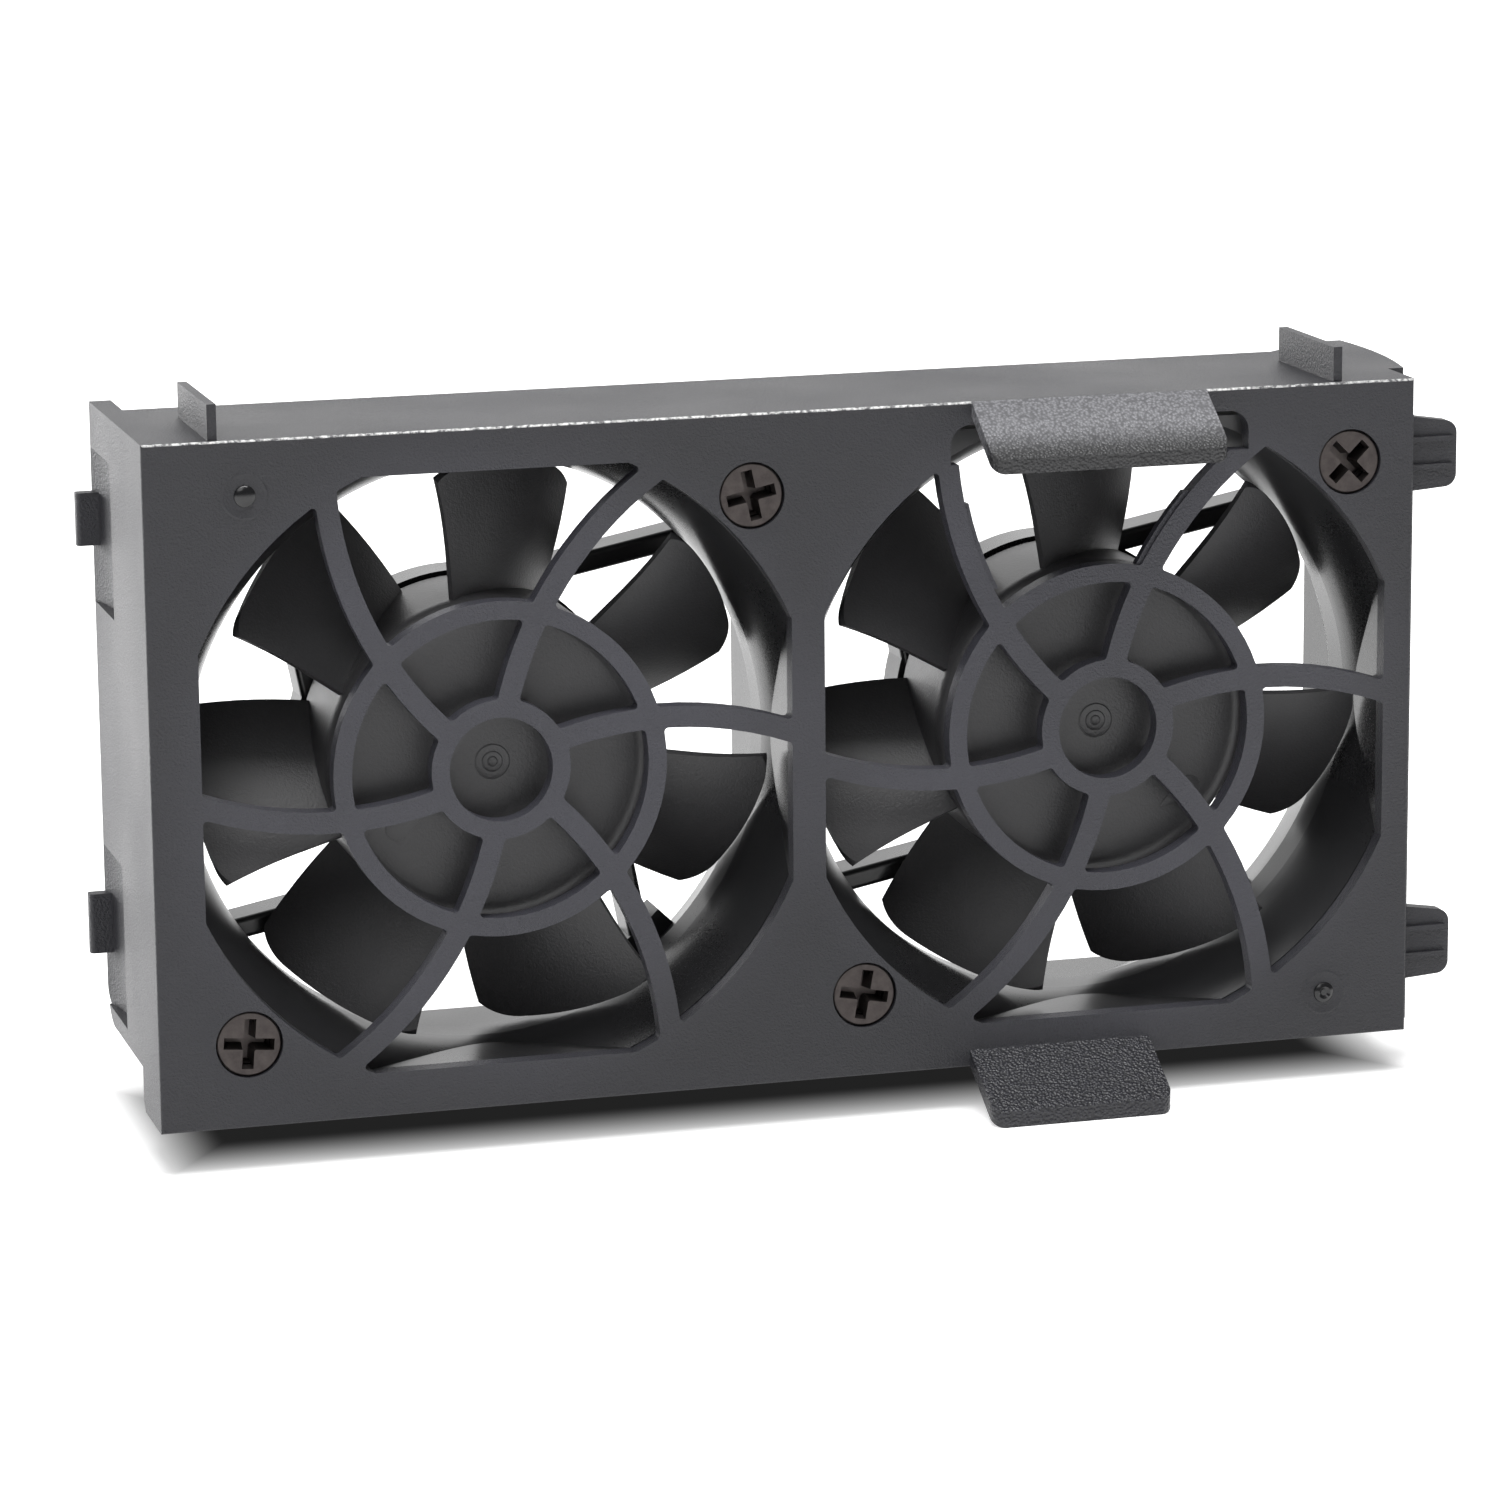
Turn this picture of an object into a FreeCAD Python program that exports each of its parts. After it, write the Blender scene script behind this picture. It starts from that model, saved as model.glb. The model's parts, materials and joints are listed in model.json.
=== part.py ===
"""Twin server fan module: a moulded bracket that carries two axial fans side by side.

Axes: +X to the right along the face of the bracket, +Y from the grille face back through
the fans, +Z up. The origin lies on the underside of the bottom wall, at the grille face,
midway between the two fan axes. Lengths are in millimetres, angles in degrees.
Pieces of a fan are made about the fan axis and then set in their place in the bracket.
"""
import FreeCAD, Part
import math
import os

os.makedirs("parts", exist_ok=True)

V = FreeCAD.Vector
ORIGIN = V(0, 0, 0)
ALONG_X = V(1, 0, 0)
ALONG_Y = V(0, 1, 0)
ALONG_Z = V(0, 0, 1)
FULL_TURN = 360.0

# Fans and the room about them in the bracket.
fan_size = 60.0
fan_depth = 20.0
fan_hole_spacing = 50.0
fan_hole_radius = 2.15
gap_between_fans = 1.0
gap_left_of_fans = 1.55
gap_right_of_fans = 0.8
gap_over_fans = 0.85
gap_under_fans = 1.05

# Bracket plate and walls.
plate_thickness = 1.8
plate_edge_radius = 0.25
wall_start = 0.6
top_wall_thickness = 2.1
top_wall_depth = 21.8
bottom_wall_thickness = 2.1
bottom_wall_depth = 9.3
bottom_wall_chamfer = 0.9
left_wall_thickness = 2.15
left_wall_depth = 28.4
heel_height = 4.3
heel_radius = 3.6
right_wall_depth = 27.0
right_wall_thickness = 0.9
right_wall_taper = 0.8
right_wall_bottom = 1.65
bow_radius = 60.0
bow_rise = 3.2
bow_crest_depth = 20.5
corner_notch_depth = 7.0
corner_notch_height = 4.0
gusset_run = 6.7

# Places that follow from the fans and the walls.
fan_pitch = fan_size + gap_between_fans
fan_axis_height = bottom_wall_thickness + gap_under_fans + fan_size / 2
plate_height = fan_axis_height + fan_size / 2 + gap_over_fans + top_wall_thickness
plate_left = -(fan_pitch + fan_size) / 2 - gap_left_of_fans - left_wall_thickness
right_wall_front_x = (fan_pitch + fan_size) / 2 + gap_right_of_fans
right_wall_rear_x = right_wall_front_x + right_wall_taper
plate_right = right_wall_front_x + right_wall_thickness
bow_crest_x = plate_right + bow_rise
right_fan_x = fan_pitch / 2

# Grille over each fan.
opening_radius = 31.6
opening_half_width = 28.85
outer_ring_radius = 16.3
outer_ring_width = 1.8
inner_ring_radius = 6.8
inner_ring_width = 1.75
arm_count = 6
arm_width = 2.1
arm_start_radius = 6.1
arm_start_angle = 23.6
arm_middle_radius = 19.0
arm_middle_angle = 12.0
arm_end_radius = 33.0
arm_end_angle = -0.1
window_corner_radius = 0.4
arm_rib_width = 0.45
arm_rib_front = 0.25
arm_rib_rear = 1.2
arm_rib_top = 23.0

# Cut-out above the right fan, under the upper grip.
cutout_left = right_fan_x - 16.1
cutout_width = 30.5
cutout_height = 3.85
cutout_top = plate_height - 2.25
cutout_corner_radius = 2.0

# Finger grips on the face.
grip_root_depth = 1.0
upper_grip_left = right_fan_x - 14.0
upper_grip_width = 24.0
upper_grip_reach = 6.8
upper_grip_drop = 4.65
upper_grip_thickness = 1.45
lower_grip_left = right_fan_x - 14.2
lower_grip_width = 18.6
lower_grip_reach = 7.5
lower_grip_drop = 4.45
lower_grip_thickness = 1.6
lower_grip_root_height = 1.7
grip_corner_radius = 1.3

# Guide fins on the top wall.
fin_height = 3.4
fin_depth = 15.5
fin_thickness = 0.9
left_fin_x = plate_left + 6.4
right_fin_x = plate_right - 8.3

# Pivot hooks on the rear edge of the left wall, and the scoops in front of them.
hook_reach = 1.8
hook_thickness = 1.4
upper_hook_bottom = plate_height - 13.95
upper_hook_height = 5.2
lower_hook_bottom = 11.35
lower_hook_height = 6.0
scoop_depth_span = 10.9
scoop_sink = 1.0
upper_scoop_bottom = plate_height - 19.65
upper_scoop_height = 15.2
lower_scoop_bottom = 5.95
lower_scoop_height = 16.2

# Stop flange and tabs on the right wall.
flange_front = 2.2
flange_thickness = 1.5
flange_reach_x = plate_right + 0.9
flange_bottom = 0.65
tab_front = 3.0
tab_thickness = 1.5
tab_tip_x = plate_right + 5.8
tab_height = 7.9
tab_tip_taper = 1.0
tab_corner_radius = 1.3
tab_rib_width = 0.5
tab_rib_height = 0.4
tab_rib_spacing = 2.75
upper_tab_bottom = plate_height - 11.9
lower_tab_bottom = 4.4

# Screws that hold the fans to the plate.
screw_head_radius = 3.1
screw_head_sink = 0.25
screw_head_chamfer = 0.12
screw_head_clearance = 0.15
screw_recess_depth = 1.05
screw_shank_radius = 2.4
screw_hole_clearance = 0.1
screw_reach = 5.2
screw_clearance = 0.05

# Fan frame.
frame_corner_radius = 2.5
flange_depth = 4.0
tube_radius = 31.6
mouth_radius = 31.5
mouth_mid_radius = 30.0
mouth_mid_depth = 4.3
throat_radius = 28.6
throat_start = 10.1
throat_end = 13.65
outlet_radius = 31.0
strut_count = 4
strut_width = 2.1
strut_front = 17.4
strut_edge_radius = 0.5
strut_inner_x = 2.0
strut_outer_x = 26.0
strut_offset = 13.7
strut_angle = 11.0
strut_foot_radius = 27.6
strut_foot_start = -57.0
strut_foot_end = -44.0

# Motor base that stands on the struts in the rear of the fan frame.
base_radius = 16.3
base_front = 18.8
rim_front = 17.6
rim_width = 1.4
rear_recess_radius = 14.6
rear_recess_depth = 0.4
bearing_tube_radius = 4.2
bearing_tube_front = 8.6
bearing_tube_waist_radius = 2.3
coil_seat_radius = 5.4
coil_seat_depth = 15.2
board_pad_count = 3
board_pad_radius = 1.2
board_pad_reach = 11.0
cap_radius = 4.6
cap_thickness = 1.0
cap_boss_radius = 2.4
cap_boss_height = 0.3

# Impeller.
hub_radius = 16.0
hub_front = 3.85
hub_rear = 16.6
hub_wall = 1.3
hub_edge_radius = 1.9
blade_count = 7
blade_tip_radius = 28.2
blade_root_sink = 0.6
blade_front = 5.5
blade_rear = 15.8
blade_margin = 0.35
blade_lead_corner = 1.5
blade_trail_corner = 3.2
blade_camber = 0.3
blade_root_thickness = 1.5
blade_tip_thickness = 1.1
blade_edge_share = 0.45
blade_lead_root_angle = 14.5
blade_lead_tip_angle = 12.0
blade_lead_hollow = 1.5
blade_trail_root_angle = -27.5
blade_trail_tip_angle = -20.0
blade_stations = 5
blade_chord_steps = 6
left_impeller_turn = 88.0
right_impeller_turn = 94.0

# Rotor inside the hub.
yoke_wall = 0.8
yoke_rear = 16.2
yoke_clearance = 0.05
magnet_wall = 1.5
magnet_rear = 15.8
magnet_clearance = 0.03
shaft_radius = 1.0
shaft_rear = 20.0
bushing_radius = 3.0
bushing_length = 1.6
bushing_clearance = 0.02
spring_inner_radius = 1.4
spring_outer_radius = 2.6
spring_rise = 0.55
spring_thickness = 0.3
clip_front = 19.0
clip_thickness = 0.4
clip_radius = 2.2
clip_groove_sink = 0.2
clip_groove_clearance = 0.02
clip_mouth_width = 1.4

# Bearings.
bearing_radius = 3.0
bearing_length = 2.3
bearing_seat_clearance = 0.03
shaft_clearance = 0.03
bearing_shield_radius = 2.4
bearing_shield_sink = 0.2

# Stator.
pole_count = 4
core_front = 9.0
core_rear = 14.5
air_gap = 0.52
core_ring_share = 0.3875
core_ring_radius = hub_radius * core_ring_share
core_clearance = 0.05
pole_neck_width = 3.2
pole_shoe_width = 1.4
pole_shoe_half_angle = 36.0
insulator_plate = 0.7
insulator_sleeve = 0.4
insulator_wall = 0.5
insulator_wall_share = 0.25
insulator_wall_half_width = hub_radius * insulator_wall_share
insulator_wall_rise = 0.8
coil_gap = 0.7
coil_inner_reach = core_ring_radius + coil_gap
coil_build = 1.1
coil_corner_radius = 0.8
board_radius = 13.6
board_front = 17.2
board_thickness = 1.2
board_hole_radius = 5.7
chip_width = 3.9
chip_length = 5.0
chip_height = 0.5
chip_reach = 9.0


# ------------------------------------------------------------------ plain shapes

def block(x_from, x_to, y_from, y_to, z_from, z_to):
    """Box between two positions along each axis."""
    corner = V(x_from, y_from, z_from)
    return Part.makeBox(x_to - x_from, y_to - y_from, z_to - z_from, corner)


def rod(radius, y_from, y_to, x=0.0, z=0.0):
    """Cylinder along Y."""
    return Part.makeCylinder(radius, y_to - y_from, V(x, y_from, z), ALONG_Y)


def pipe(outer, inner, y_from, y_to):
    """Tube along Y about the fan axis."""
    return rod(outer, y_from, y_to).cut(rod(inner, y_from, y_to))


def prism(points, span):
    """Solid with a flat outline, carried along the span vector."""
    return Part.Face(Part.makePolygon(points + [points[0]])).extrude(span)


def filled(edges):
    """Face inside a closed run of edges."""
    return Part.Face(Part.Wire(Part.__sortEdges__(edges)))


def line(start, end):
    """Straight edge."""
    return Part.makeLine(start, end)


def arc(start, middle, end):
    """Circular edge through three points."""
    return Part.Arc(start, middle, end).toShape()


def quarter(start, end):
    """Quarter of a circle that leaves its start along X and reaches its end along Y."""
    reach = abs(end.x - start.x)
    centre = V(start.x, end.y, 0)
    middle = centre + ((start - centre) + (end - centre)).normalize() * reach
    return arc(start, middle, end)


def polar(radius, angle, y=0.0):
    """Point at a radius and an angle from +X, counter-clockwise as seen from the front."""
    turn = math.radians(angle)
    return V(radius * math.cos(turn), y, radius * math.sin(turn))


def wedge(reach, from_angle, to_angle, y_from, y_to):
    """Three-sided prism about the fan axis between two angles."""
    corners = [V(0, y_from, 0), polar(reach, from_angle, y_from), polar(reach, to_angle, y_from)]
    return prism(corners, ALONG_Y * (y_to - y_from))


def turned(shape, angle):
    """Copy of a shape turned about the fan axis, counter-clockwise as seen from the front."""
    copy = shape.copy()
    copy.rotate(ORIGIN, ALONG_Y, -angle)
    return copy


def around(shape, count, first=0.0):
    """Copies of a shape set evenly about the fan axis."""
    return [turned(shape, first + index * FULL_TURN / count) for index in range(count)]


def blend(start, end, share):
    """Value part of the way from start to end."""
    return start + (end - start) * share


def joined(pieces):
    """One solid from pieces that overlap or touch."""
    return pieces[0].multiFuse(pieces[1:]).removeSplitter()


def rounded(shape, radius, axis, chosen):
    """Shape with fillets on the straight edges along an axis whose middle is chosen."""
    edges = []
    for edge in shape.Edges:
        straight = isinstance(edge.Curve, Part.Line)
        if straight and edge.Curve.Direction.cross(axis).Length < 1e-6:
            if chosen(edge.CenterOfMass):
                edges.append(edge)
    return shape.makeFillet(radius, edges)


def screw_places():
    """Places of the screws about a fan axis: upper right and lower left."""
    offset = fan_hole_spacing / 2
    return [(offset, offset), (-offset, -offset)]


def fan_axes():
    """X positions of the two fan axes."""
    return [-right_fan_x, right_fan_x]


# ------------------------------------------------------------------ bracket

def curved_bar(inner_side, outer_side, y_from, y_to):
    """Bar along the curve of a grille arm, between two distances from its middle line."""
    start = polar(arm_start_radius, arm_start_angle, y_from)
    middle = polar(arm_middle_radius, arm_middle_angle, y_from)
    end = polar(arm_end_radius, arm_end_angle, y_from)
    bow = arc(start, middle, end).Curve
    sides = []
    for side in (inner_side, outer_side):
        share = 1 + side / bow.Radius
        sides.append([bow.Center + (point - bow.Center) * share for point in (start, middle, end)])
    first, second = sides
    edges = [arc(*first), line(first[2], second[2]), arc(*second), line(second[0], first[0])]
    return filled(edges).extrude(ALONG_Y * (y_to - y_from))


def grille():
    """Two rings and the curved arms over a fan."""
    outer = pipe(outer_ring_radius, outer_ring_radius - outer_ring_width, 0, plate_thickness)
    inner = pipe(inner_ring_radius, inner_ring_radius - inner_ring_width, 0, plate_thickness)
    arm = curved_bar(-arm_width / 2, arm_width / 2, 0, plate_thickness)
    return joined([outer, inner] + around(arm, arm_count))


def windows():
    """Air windows of a grille: a round opening with four flats, less the grille, corners rounded."""
    half = opening_half_width
    opening = rod(opening_radius, 0, plate_thickness)
    opening = opening.common(block(-half, half, 0, plate_thickness, -half, half))
    bore = rod(inner_ring_radius - inner_ring_width, 0, plate_thickness)
    panes = opening.cut(Part.makeCompound([grille(), bore])).Solids
    return [bore] + [rounded(pane, window_corner_radius, ALONG_Y, lambda point: True)
                     for pane in panes]


def arm_ribs():
    """Ribs on the inner sides of the two arms under the upper grip."""
    side = arm_width / 2
    limit = block(-fan_size, fan_size, 0, plate_thickness, outer_ring_radius - outer_ring_width,
                  arm_rib_top)
    right = curved_bar(0, side + arm_rib_width, arm_rib_front, arm_rib_rear)
    left = curved_bar(-side - arm_rib_width, 0, arm_rib_front, arm_rib_rear)
    step = FULL_TURN / arm_count
    return [turned(right, step).common(limit), turned(left, 2 * step).common(limit)]


def front_plate():
    """Plate with a softened front edge, the windows of both grilles and the cut-out."""
    slab = block(plate_left, plate_right, 0, plate_thickness, 0, plate_height)
    front_edges = [edge for edge in slab.Edges if edge.BoundBox.YMax < plate_thickness / 2]
    slab = slab.makeFillet(plate_edge_radius, front_edges)
    openings = []
    for axis_x in fan_axes():
        openings += [window.translated(V(axis_x, 0, fan_axis_height)) for window in windows()]
    cutout_right = cutout_left + cutout_width
    cutout = block(cutout_left, cutout_right, -plate_thickness, 2 * plate_thickness,
                   cutout_top - cutout_height, cutout_top)
    cutout = rounded(cutout, cutout_corner_radius, ALONG_Y,
                     lambda point: point.z > cutout_top - cutout_height / 2)
    return slab.cut(Part.makeCompound(openings + [cutout]))


def top_wall():
    """Wall over the fans."""
    return block(plate_left, plate_right, wall_start, top_wall_depth,
                 plate_height - top_wall_thickness, plate_height)


def bottom_wall():
    """Short wall under the fans, with a chamfer along its rear edge."""
    rear = bottom_wall_depth
    outline = [V(plate_left, wall_start, 0), V(plate_left, rear - bottom_wall_chamfer, 0),
               V(plate_left, rear, bottom_wall_chamfer), V(plate_left, rear, bottom_wall_thickness),
               V(plate_left, wall_start, bottom_wall_thickness)]
    return prism(outline, ALONG_X * (plate_right - plate_left))


def left_wall():
    """Deep wall with a raised heel behind the bottom wall."""
    x = plate_left
    outline = [V(x, wall_start, 0), V(x, bottom_wall_depth - bottom_wall_chamfer, 0),
               V(x, bottom_wall_depth, bottom_wall_chamfer), V(x, bottom_wall_depth, heel_height),
               V(x, left_wall_depth, heel_height), V(x, left_wall_depth, plate_height),
               V(x, wall_start, plate_height)]
    wall = prism(outline, ALONG_X * left_wall_thickness)
    return rounded(wall, heel_radius, ALONG_X,
                   lambda point: point.y > bottom_wall_depth and point.z < fan_axis_height)


def scoop(bottom, height):
    """Shallow hollow with an upright axis, cut in the outer face of the left wall."""
    half_span = scoop_depth_span / 2
    radius = (half_span ** 2 + scoop_sink ** 2) / (2 * scoop_sink)
    middle = V(plate_left + scoop_sink - radius, left_wall_depth - half_span, bottom)
    return Part.makeCylinder(radius, height, middle, ALONG_Z)


def hook(bottom, height):
    """Lip that stands out from the rear edge of the left wall."""
    lip = block(plate_left - hook_reach, plate_left + left_wall_thickness,
                left_wall_depth - hook_thickness, left_wall_depth, bottom, bottom + height)
    return rounded(lip, hook_thickness / 3, ALONG_Z, lambda point: point.x < plate_left)


def bow_point(depth):
    """Point on the bowed outer face of the right wall at a depth."""
    run = math.sqrt(bow_radius ** 2 - (depth - bow_crest_depth) ** 2)
    return V(bow_crest_x - bow_radius + run, depth, right_wall_bottom)


def right_wall():
    """Wall with a bowed outer face, a notch in its upper front corner and a rear gusset."""
    meet = bow_crest_depth - math.sqrt(bow_radius ** 2 - (plate_right - bow_crest_x + bow_radius) ** 2)
    corners = [V(right_wall_front_x, wall_start, right_wall_bottom),
               V(plate_right, wall_start, right_wall_bottom),
               bow_point(meet), bow_point(right_wall_depth),
               V(right_wall_rear_x, right_wall_depth, right_wall_bottom)]
    edges = [line(corners[0], corners[1]), line(corners[1], corners[2]),
             arc(corners[2], bow_point(bow_crest_depth), corners[3]),
             line(corners[3], corners[4]), line(corners[4], corners[0])]
    wall = filled(edges).extrude(ALONG_Z * (plate_height - right_wall_bottom))
    notch = block(plate_right, tab_tip_x, 0, corner_notch_depth,
                  plate_height - corner_notch_height, 2 * plate_height)
    return wall.cut(notch)


def rear_gusset():
    """Sloping web between the top wall and the rear edge of the right wall."""
    z = plate_height - top_wall_thickness
    start_x = plate_right - gusset_run
    outline = [V(start_x, top_wall_depth, z), V(right_wall_rear_x, right_wall_depth, z),
               V(blend(plate_right, bow_crest_x, 0.5), right_wall_depth, z),
               V(plate_right, top_wall_depth - plate_thickness, z),
               V(start_x, top_wall_depth - plate_thickness, z)]
    return prism(outline, ALONG_Z * top_wall_thickness)


def stop_flange():
    """Narrow flange along the front of the right wall."""
    return block(right_wall_front_x, flange_reach_x, flange_front, flange_front + flange_thickness,
                 flange_bottom, plate_height - corner_notch_height)


def tab(bottom):
    """Tapered tab with two thin ribs on its front."""
    x_root = right_wall_front_x
    top = bottom + tab_height
    outline = [V(x_root, tab_front, bottom), V(tab_tip_x, tab_front, bottom + tab_tip_taper / 2),
               V(tab_tip_x, tab_front, top - tab_tip_taper), V(x_root, tab_front, top)]
    plate = prism(outline, ALONG_Y * tab_thickness)
    plate = rounded(plate, tab_corner_radius, ALONG_Y, lambda point: point.x > plate_right)
    middle = bottom + tab_height / 2
    pieces = [plate]
    for side in (-tab_rib_spacing / 2, tab_rib_spacing / 2):
        pieces.append(block(flange_reach_x - tab_rib_width, tab_tip_x - tab_rib_width,
                            tab_front - tab_rib_height, tab_front + tab_rib_height,
                            middle + side - tab_rib_width / 2, middle + side + tab_rib_width / 2))
    return joined(pieces)


def grip(left, width, reach, drop, thickness, root_height):
    """Finger grip that slopes down and forward from the face."""
    outline = [V(left, grip_root_depth, root_height), V(left, 0, root_height),
               V(left, -reach, root_height - drop),
               V(left, -reach, root_height - drop - thickness),
               V(left, 0, root_height - thickness),
               V(left, grip_root_depth, root_height - thickness)]
    blade = prism(outline, ALONG_X * width)
    return rounded(blade, grip_corner_radius, ALONG_Z, lambda point: point.y < -reach / 2)


def fin(left):
    """Thin guide fin that stands on the top wall."""
    return block(left, left + fin_thickness, wall_start, fin_depth,
                 plate_height - fin_thickness, plate_height + fin_height)


def screw_seats(axis_x):
    """Recessed screw holes of one fan, to be cut from the plate."""
    cuts = []
    for x, z in screw_places():
        place = (axis_x + x, fan_axis_height + z)
        recess_radius = screw_head_radius + screw_head_clearance
        cuts.append(rod(recess_radius, -plate_thickness, screw_recess_depth, *place))
        hole_radius = screw_shank_radius + screw_hole_clearance
        cuts.append(rod(hole_radius, 0, 2 * plate_thickness, *place))
    return cuts


def bracket():
    """Moulded bracket: plate, grilles, walls, grips, fins, hooks and tabs."""
    pieces = [front_plate(), top_wall(), bottom_wall(), left_wall(), right_wall(), rear_gusset(),
              stop_flange(), tab(upper_tab_bottom), tab(lower_tab_bottom),
              fin(left_fin_x), fin(right_fin_x)]
    pieces += [rib.translated(V(fan_axes()[-1], 0, fan_axis_height)) for rib in arm_ribs()]
    pieces.append(grip(upper_grip_left, upper_grip_width, upper_grip_reach, upper_grip_drop,
                       upper_grip_thickness, plate_height))
    pieces.append(grip(lower_grip_left, lower_grip_width, lower_grip_reach, lower_grip_drop,
                       lower_grip_thickness, lower_grip_root_height))
    cuts = [scoop(upper_scoop_bottom, upper_scoop_height),
            scoop(lower_scoop_bottom, lower_scoop_height)]
    for axis_x in fan_axes():
        cuts += screw_seats(axis_x)
    body = joined(pieces).cut(Part.makeCompound(cuts))
    hooks = [hook(upper_hook_bottom, upper_hook_height), hook(lower_hook_bottom, lower_hook_height)]
    return joined([body] + hooks)


# ------------------------------------------------------------------ screws

def fan_screw(x, z):
    """Flat-faced screw with its head in the recess of the plate."""
    head = rod(screw_head_radius, screw_head_sink, screw_recess_depth, x, z)
    front_edge = [edge for edge in head.Edges if edge.BoundBox.YMax < screw_recess_depth / 2]
    head = head.makeChamfer(screw_head_chamfer, front_edge)
    shank = rod(screw_shank_radius, screw_head_sink + screw_head_chamfer,
                plate_thickness + screw_reach, x, z)
    return joined([head, shank])


def fan_screws():
    """The four screws, two to each fan."""
    screws = []
    for axis_x in fan_axes():
        for x, z in screw_places():
            screws.append(fan_screw(axis_x + x, fan_axis_height + z))
    return Part.makeCompound(screws)


# ------------------------------------------------------------------ fan frame

def air_passage():
    """Space inside the frame: bell mouth, throat and outlet, with four flats."""
    front = plate_thickness
    rear = plate_thickness + fan_depth
    mouth = V(mouth_radius, front, 0)
    throat_front = V(throat_radius, throat_start, 0)
    throat_rear = V(throat_radius, throat_end, 0)
    outlet = V(outlet_radius, rear, 0)
    edges = [line(V(0, front, 0), mouth),
             arc(mouth, V(mouth_mid_radius, mouth_mid_depth, 0), throat_front),
             line(throat_front, throat_rear),
             line(throat_rear, outlet),
             line(outlet, V(0, rear, 0)), line(V(0, rear, 0), V(0, front, 0))]
    space = filled(edges).revolve(ORIGIN, ALONG_Y, FULL_TURN)
    half = opening_half_width
    return space.common(block(-half, half, front, rear, -half, half))


def frame_shell():
    """Square frame with a flange and corner holes at each face and a tube between them."""
    half = fan_size / 2
    front = plate_thickness
    rear = plate_thickness + fan_depth
    body = block(-half, half, front, rear, -half, half)
    body = rounded(body, frame_corner_radius, ALONG_Y, lambda point: True)
    waist = block(-fan_size, fan_size, front + flange_depth, rear - flange_depth,
                  -fan_size, fan_size)
    waist = waist.cut(rod(tube_radius, front, rear))
    offset = fan_hole_spacing / 2
    holes = [rod(fan_hole_radius, front, rear, x, z)
             for x in (-offset, offset) for z in (-offset, offset)]
    holes += [rod(screw_shank_radius + screw_clearance, front, front + flange_depth, x, z)
              for x, z in screw_places()]
    return body.cut(Part.makeCompound([waist, air_passage()] + holes))


def strut():
    """Flat arm from the motor base to the wall of the frame, its front edges rounded."""
    rear = plate_thickness + fan_depth
    bar = block(strut_inner_x, strut_outer_x, strut_front, rear,
                strut_offset - strut_width / 2, strut_offset + strut_width / 2)
    bar = rounded(bar, strut_edge_radius, ALONG_X, lambda point: point.y < base_front)
    bar.rotate(V(0, 0, strut_offset), ALONG_Y, -strut_angle)
    return bar.common(air_passage()).cut(rod(base_radius - rim_width / 2, strut_front, rear))


def strut_foot():
    """Foot at the end of the lower right strut, where the leads leave the frame."""
    rear = plate_thickness + fan_depth
    ring = pipe(tube_radius, strut_foot_radius, strut_front, rear)
    return ring.common(wedge(fan_size, strut_foot_start, strut_foot_end, strut_front, rear))


def fan_frame():
    """Square frame of one fan with the foot of the strut that carries the leads."""
    return joined([frame_shell(), strut_foot()])


def motor_base():
    """Round base on its struts, with a rim, the bearing tube, the coil seat and board pads."""
    rear = plate_thickness + fan_depth
    pieces = [pipe(base_radius, bearing_tube_waist_radius, base_front, rear),
              pipe(base_radius, base_radius - rim_width, rim_front, rear),
              pipe(bearing_tube_radius, bearing_tube_waist_radius, bearing_tube_front, rear),
              pipe(coil_seat_radius, bearing_tube_waist_radius, coil_seat_depth, rear)]
    pad = rod(board_pad_radius, board_front + board_thickness, rear, board_pad_reach)
    pieces += around(pad, board_pad_count) + around(strut(), strut_count)
    seat = bearing_radius + bearing_seat_clearance
    cuts = [strut_foot(),
            rod(rear_recess_radius, rear - rear_recess_depth, rear),
            rod(seat, bearing_tube_front, bearing_tube_front + bearing_length),
            rod(seat, clip_front - bearing_length - shaft_clearance, rear),
            rod(cap_radius, rear - rear_recess_depth - cap_thickness, rear)]
    return joined(pieces).cut(Part.makeCompound(cuts))


# ------------------------------------------------------------------ impeller

def hub_cup():
    """Cup with a rounded front rim."""
    flat_radius = hub_radius - hub_edge_radius
    inner_radius = hub_radius - hub_wall
    inner_front = hub_front + hub_wall
    edges = [line(V(0, hub_front, 0), V(flat_radius, hub_front, 0)),
             quarter(V(flat_radius, hub_front, 0), V(hub_radius, hub_front + hub_edge_radius, 0)),
             line(V(hub_radius, hub_front + hub_edge_radius, 0), V(hub_radius, hub_rear, 0)),
             line(V(hub_radius, hub_rear, 0), V(inner_radius, hub_rear, 0)),
             line(V(inner_radius, hub_rear, 0), V(inner_radius, inner_front, 0)),
             line(V(inner_radius, inner_front, 0), V(0, inner_front, 0)),
             line(V(0, inner_front, 0), V(0, hub_front, 0))]
    return filled(edges).revolve(ORIGIN, ALONG_Y, FULL_TURN)


def section_sides(reach, lead, trail, thickness):
    """Front and rear points of a blade section that stands at a reach from the axis."""
    lead_side = reach * math.tan(math.radians(lead))
    trail_side = reach * math.tan(math.radians(trail))
    run = trail_side - lead_side
    fall = blade_rear - blade_front
    front_points = []
    rear_points = []
    for step in range(blade_chord_steps + 1):
        share = step / blade_chord_steps
        side = lead_side + run * share
        depth = blade_front + fall * (share - blade_camber * share * (1 - share))
        slope = fall * (1 - blade_camber * (1 - 2 * share))
        across = V(0, run, slope).normalize()
        fullness = blend(blade_edge_share, 1, math.sin(math.pi * share))
        half = thickness * fullness / 2
        front_points.append(V(reach, depth - half * abs(across.y), side - half * across.z))
        rear_points.append(V(reach, depth + half * abs(across.y), side + half * across.z))
    return front_points, rear_points


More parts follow.
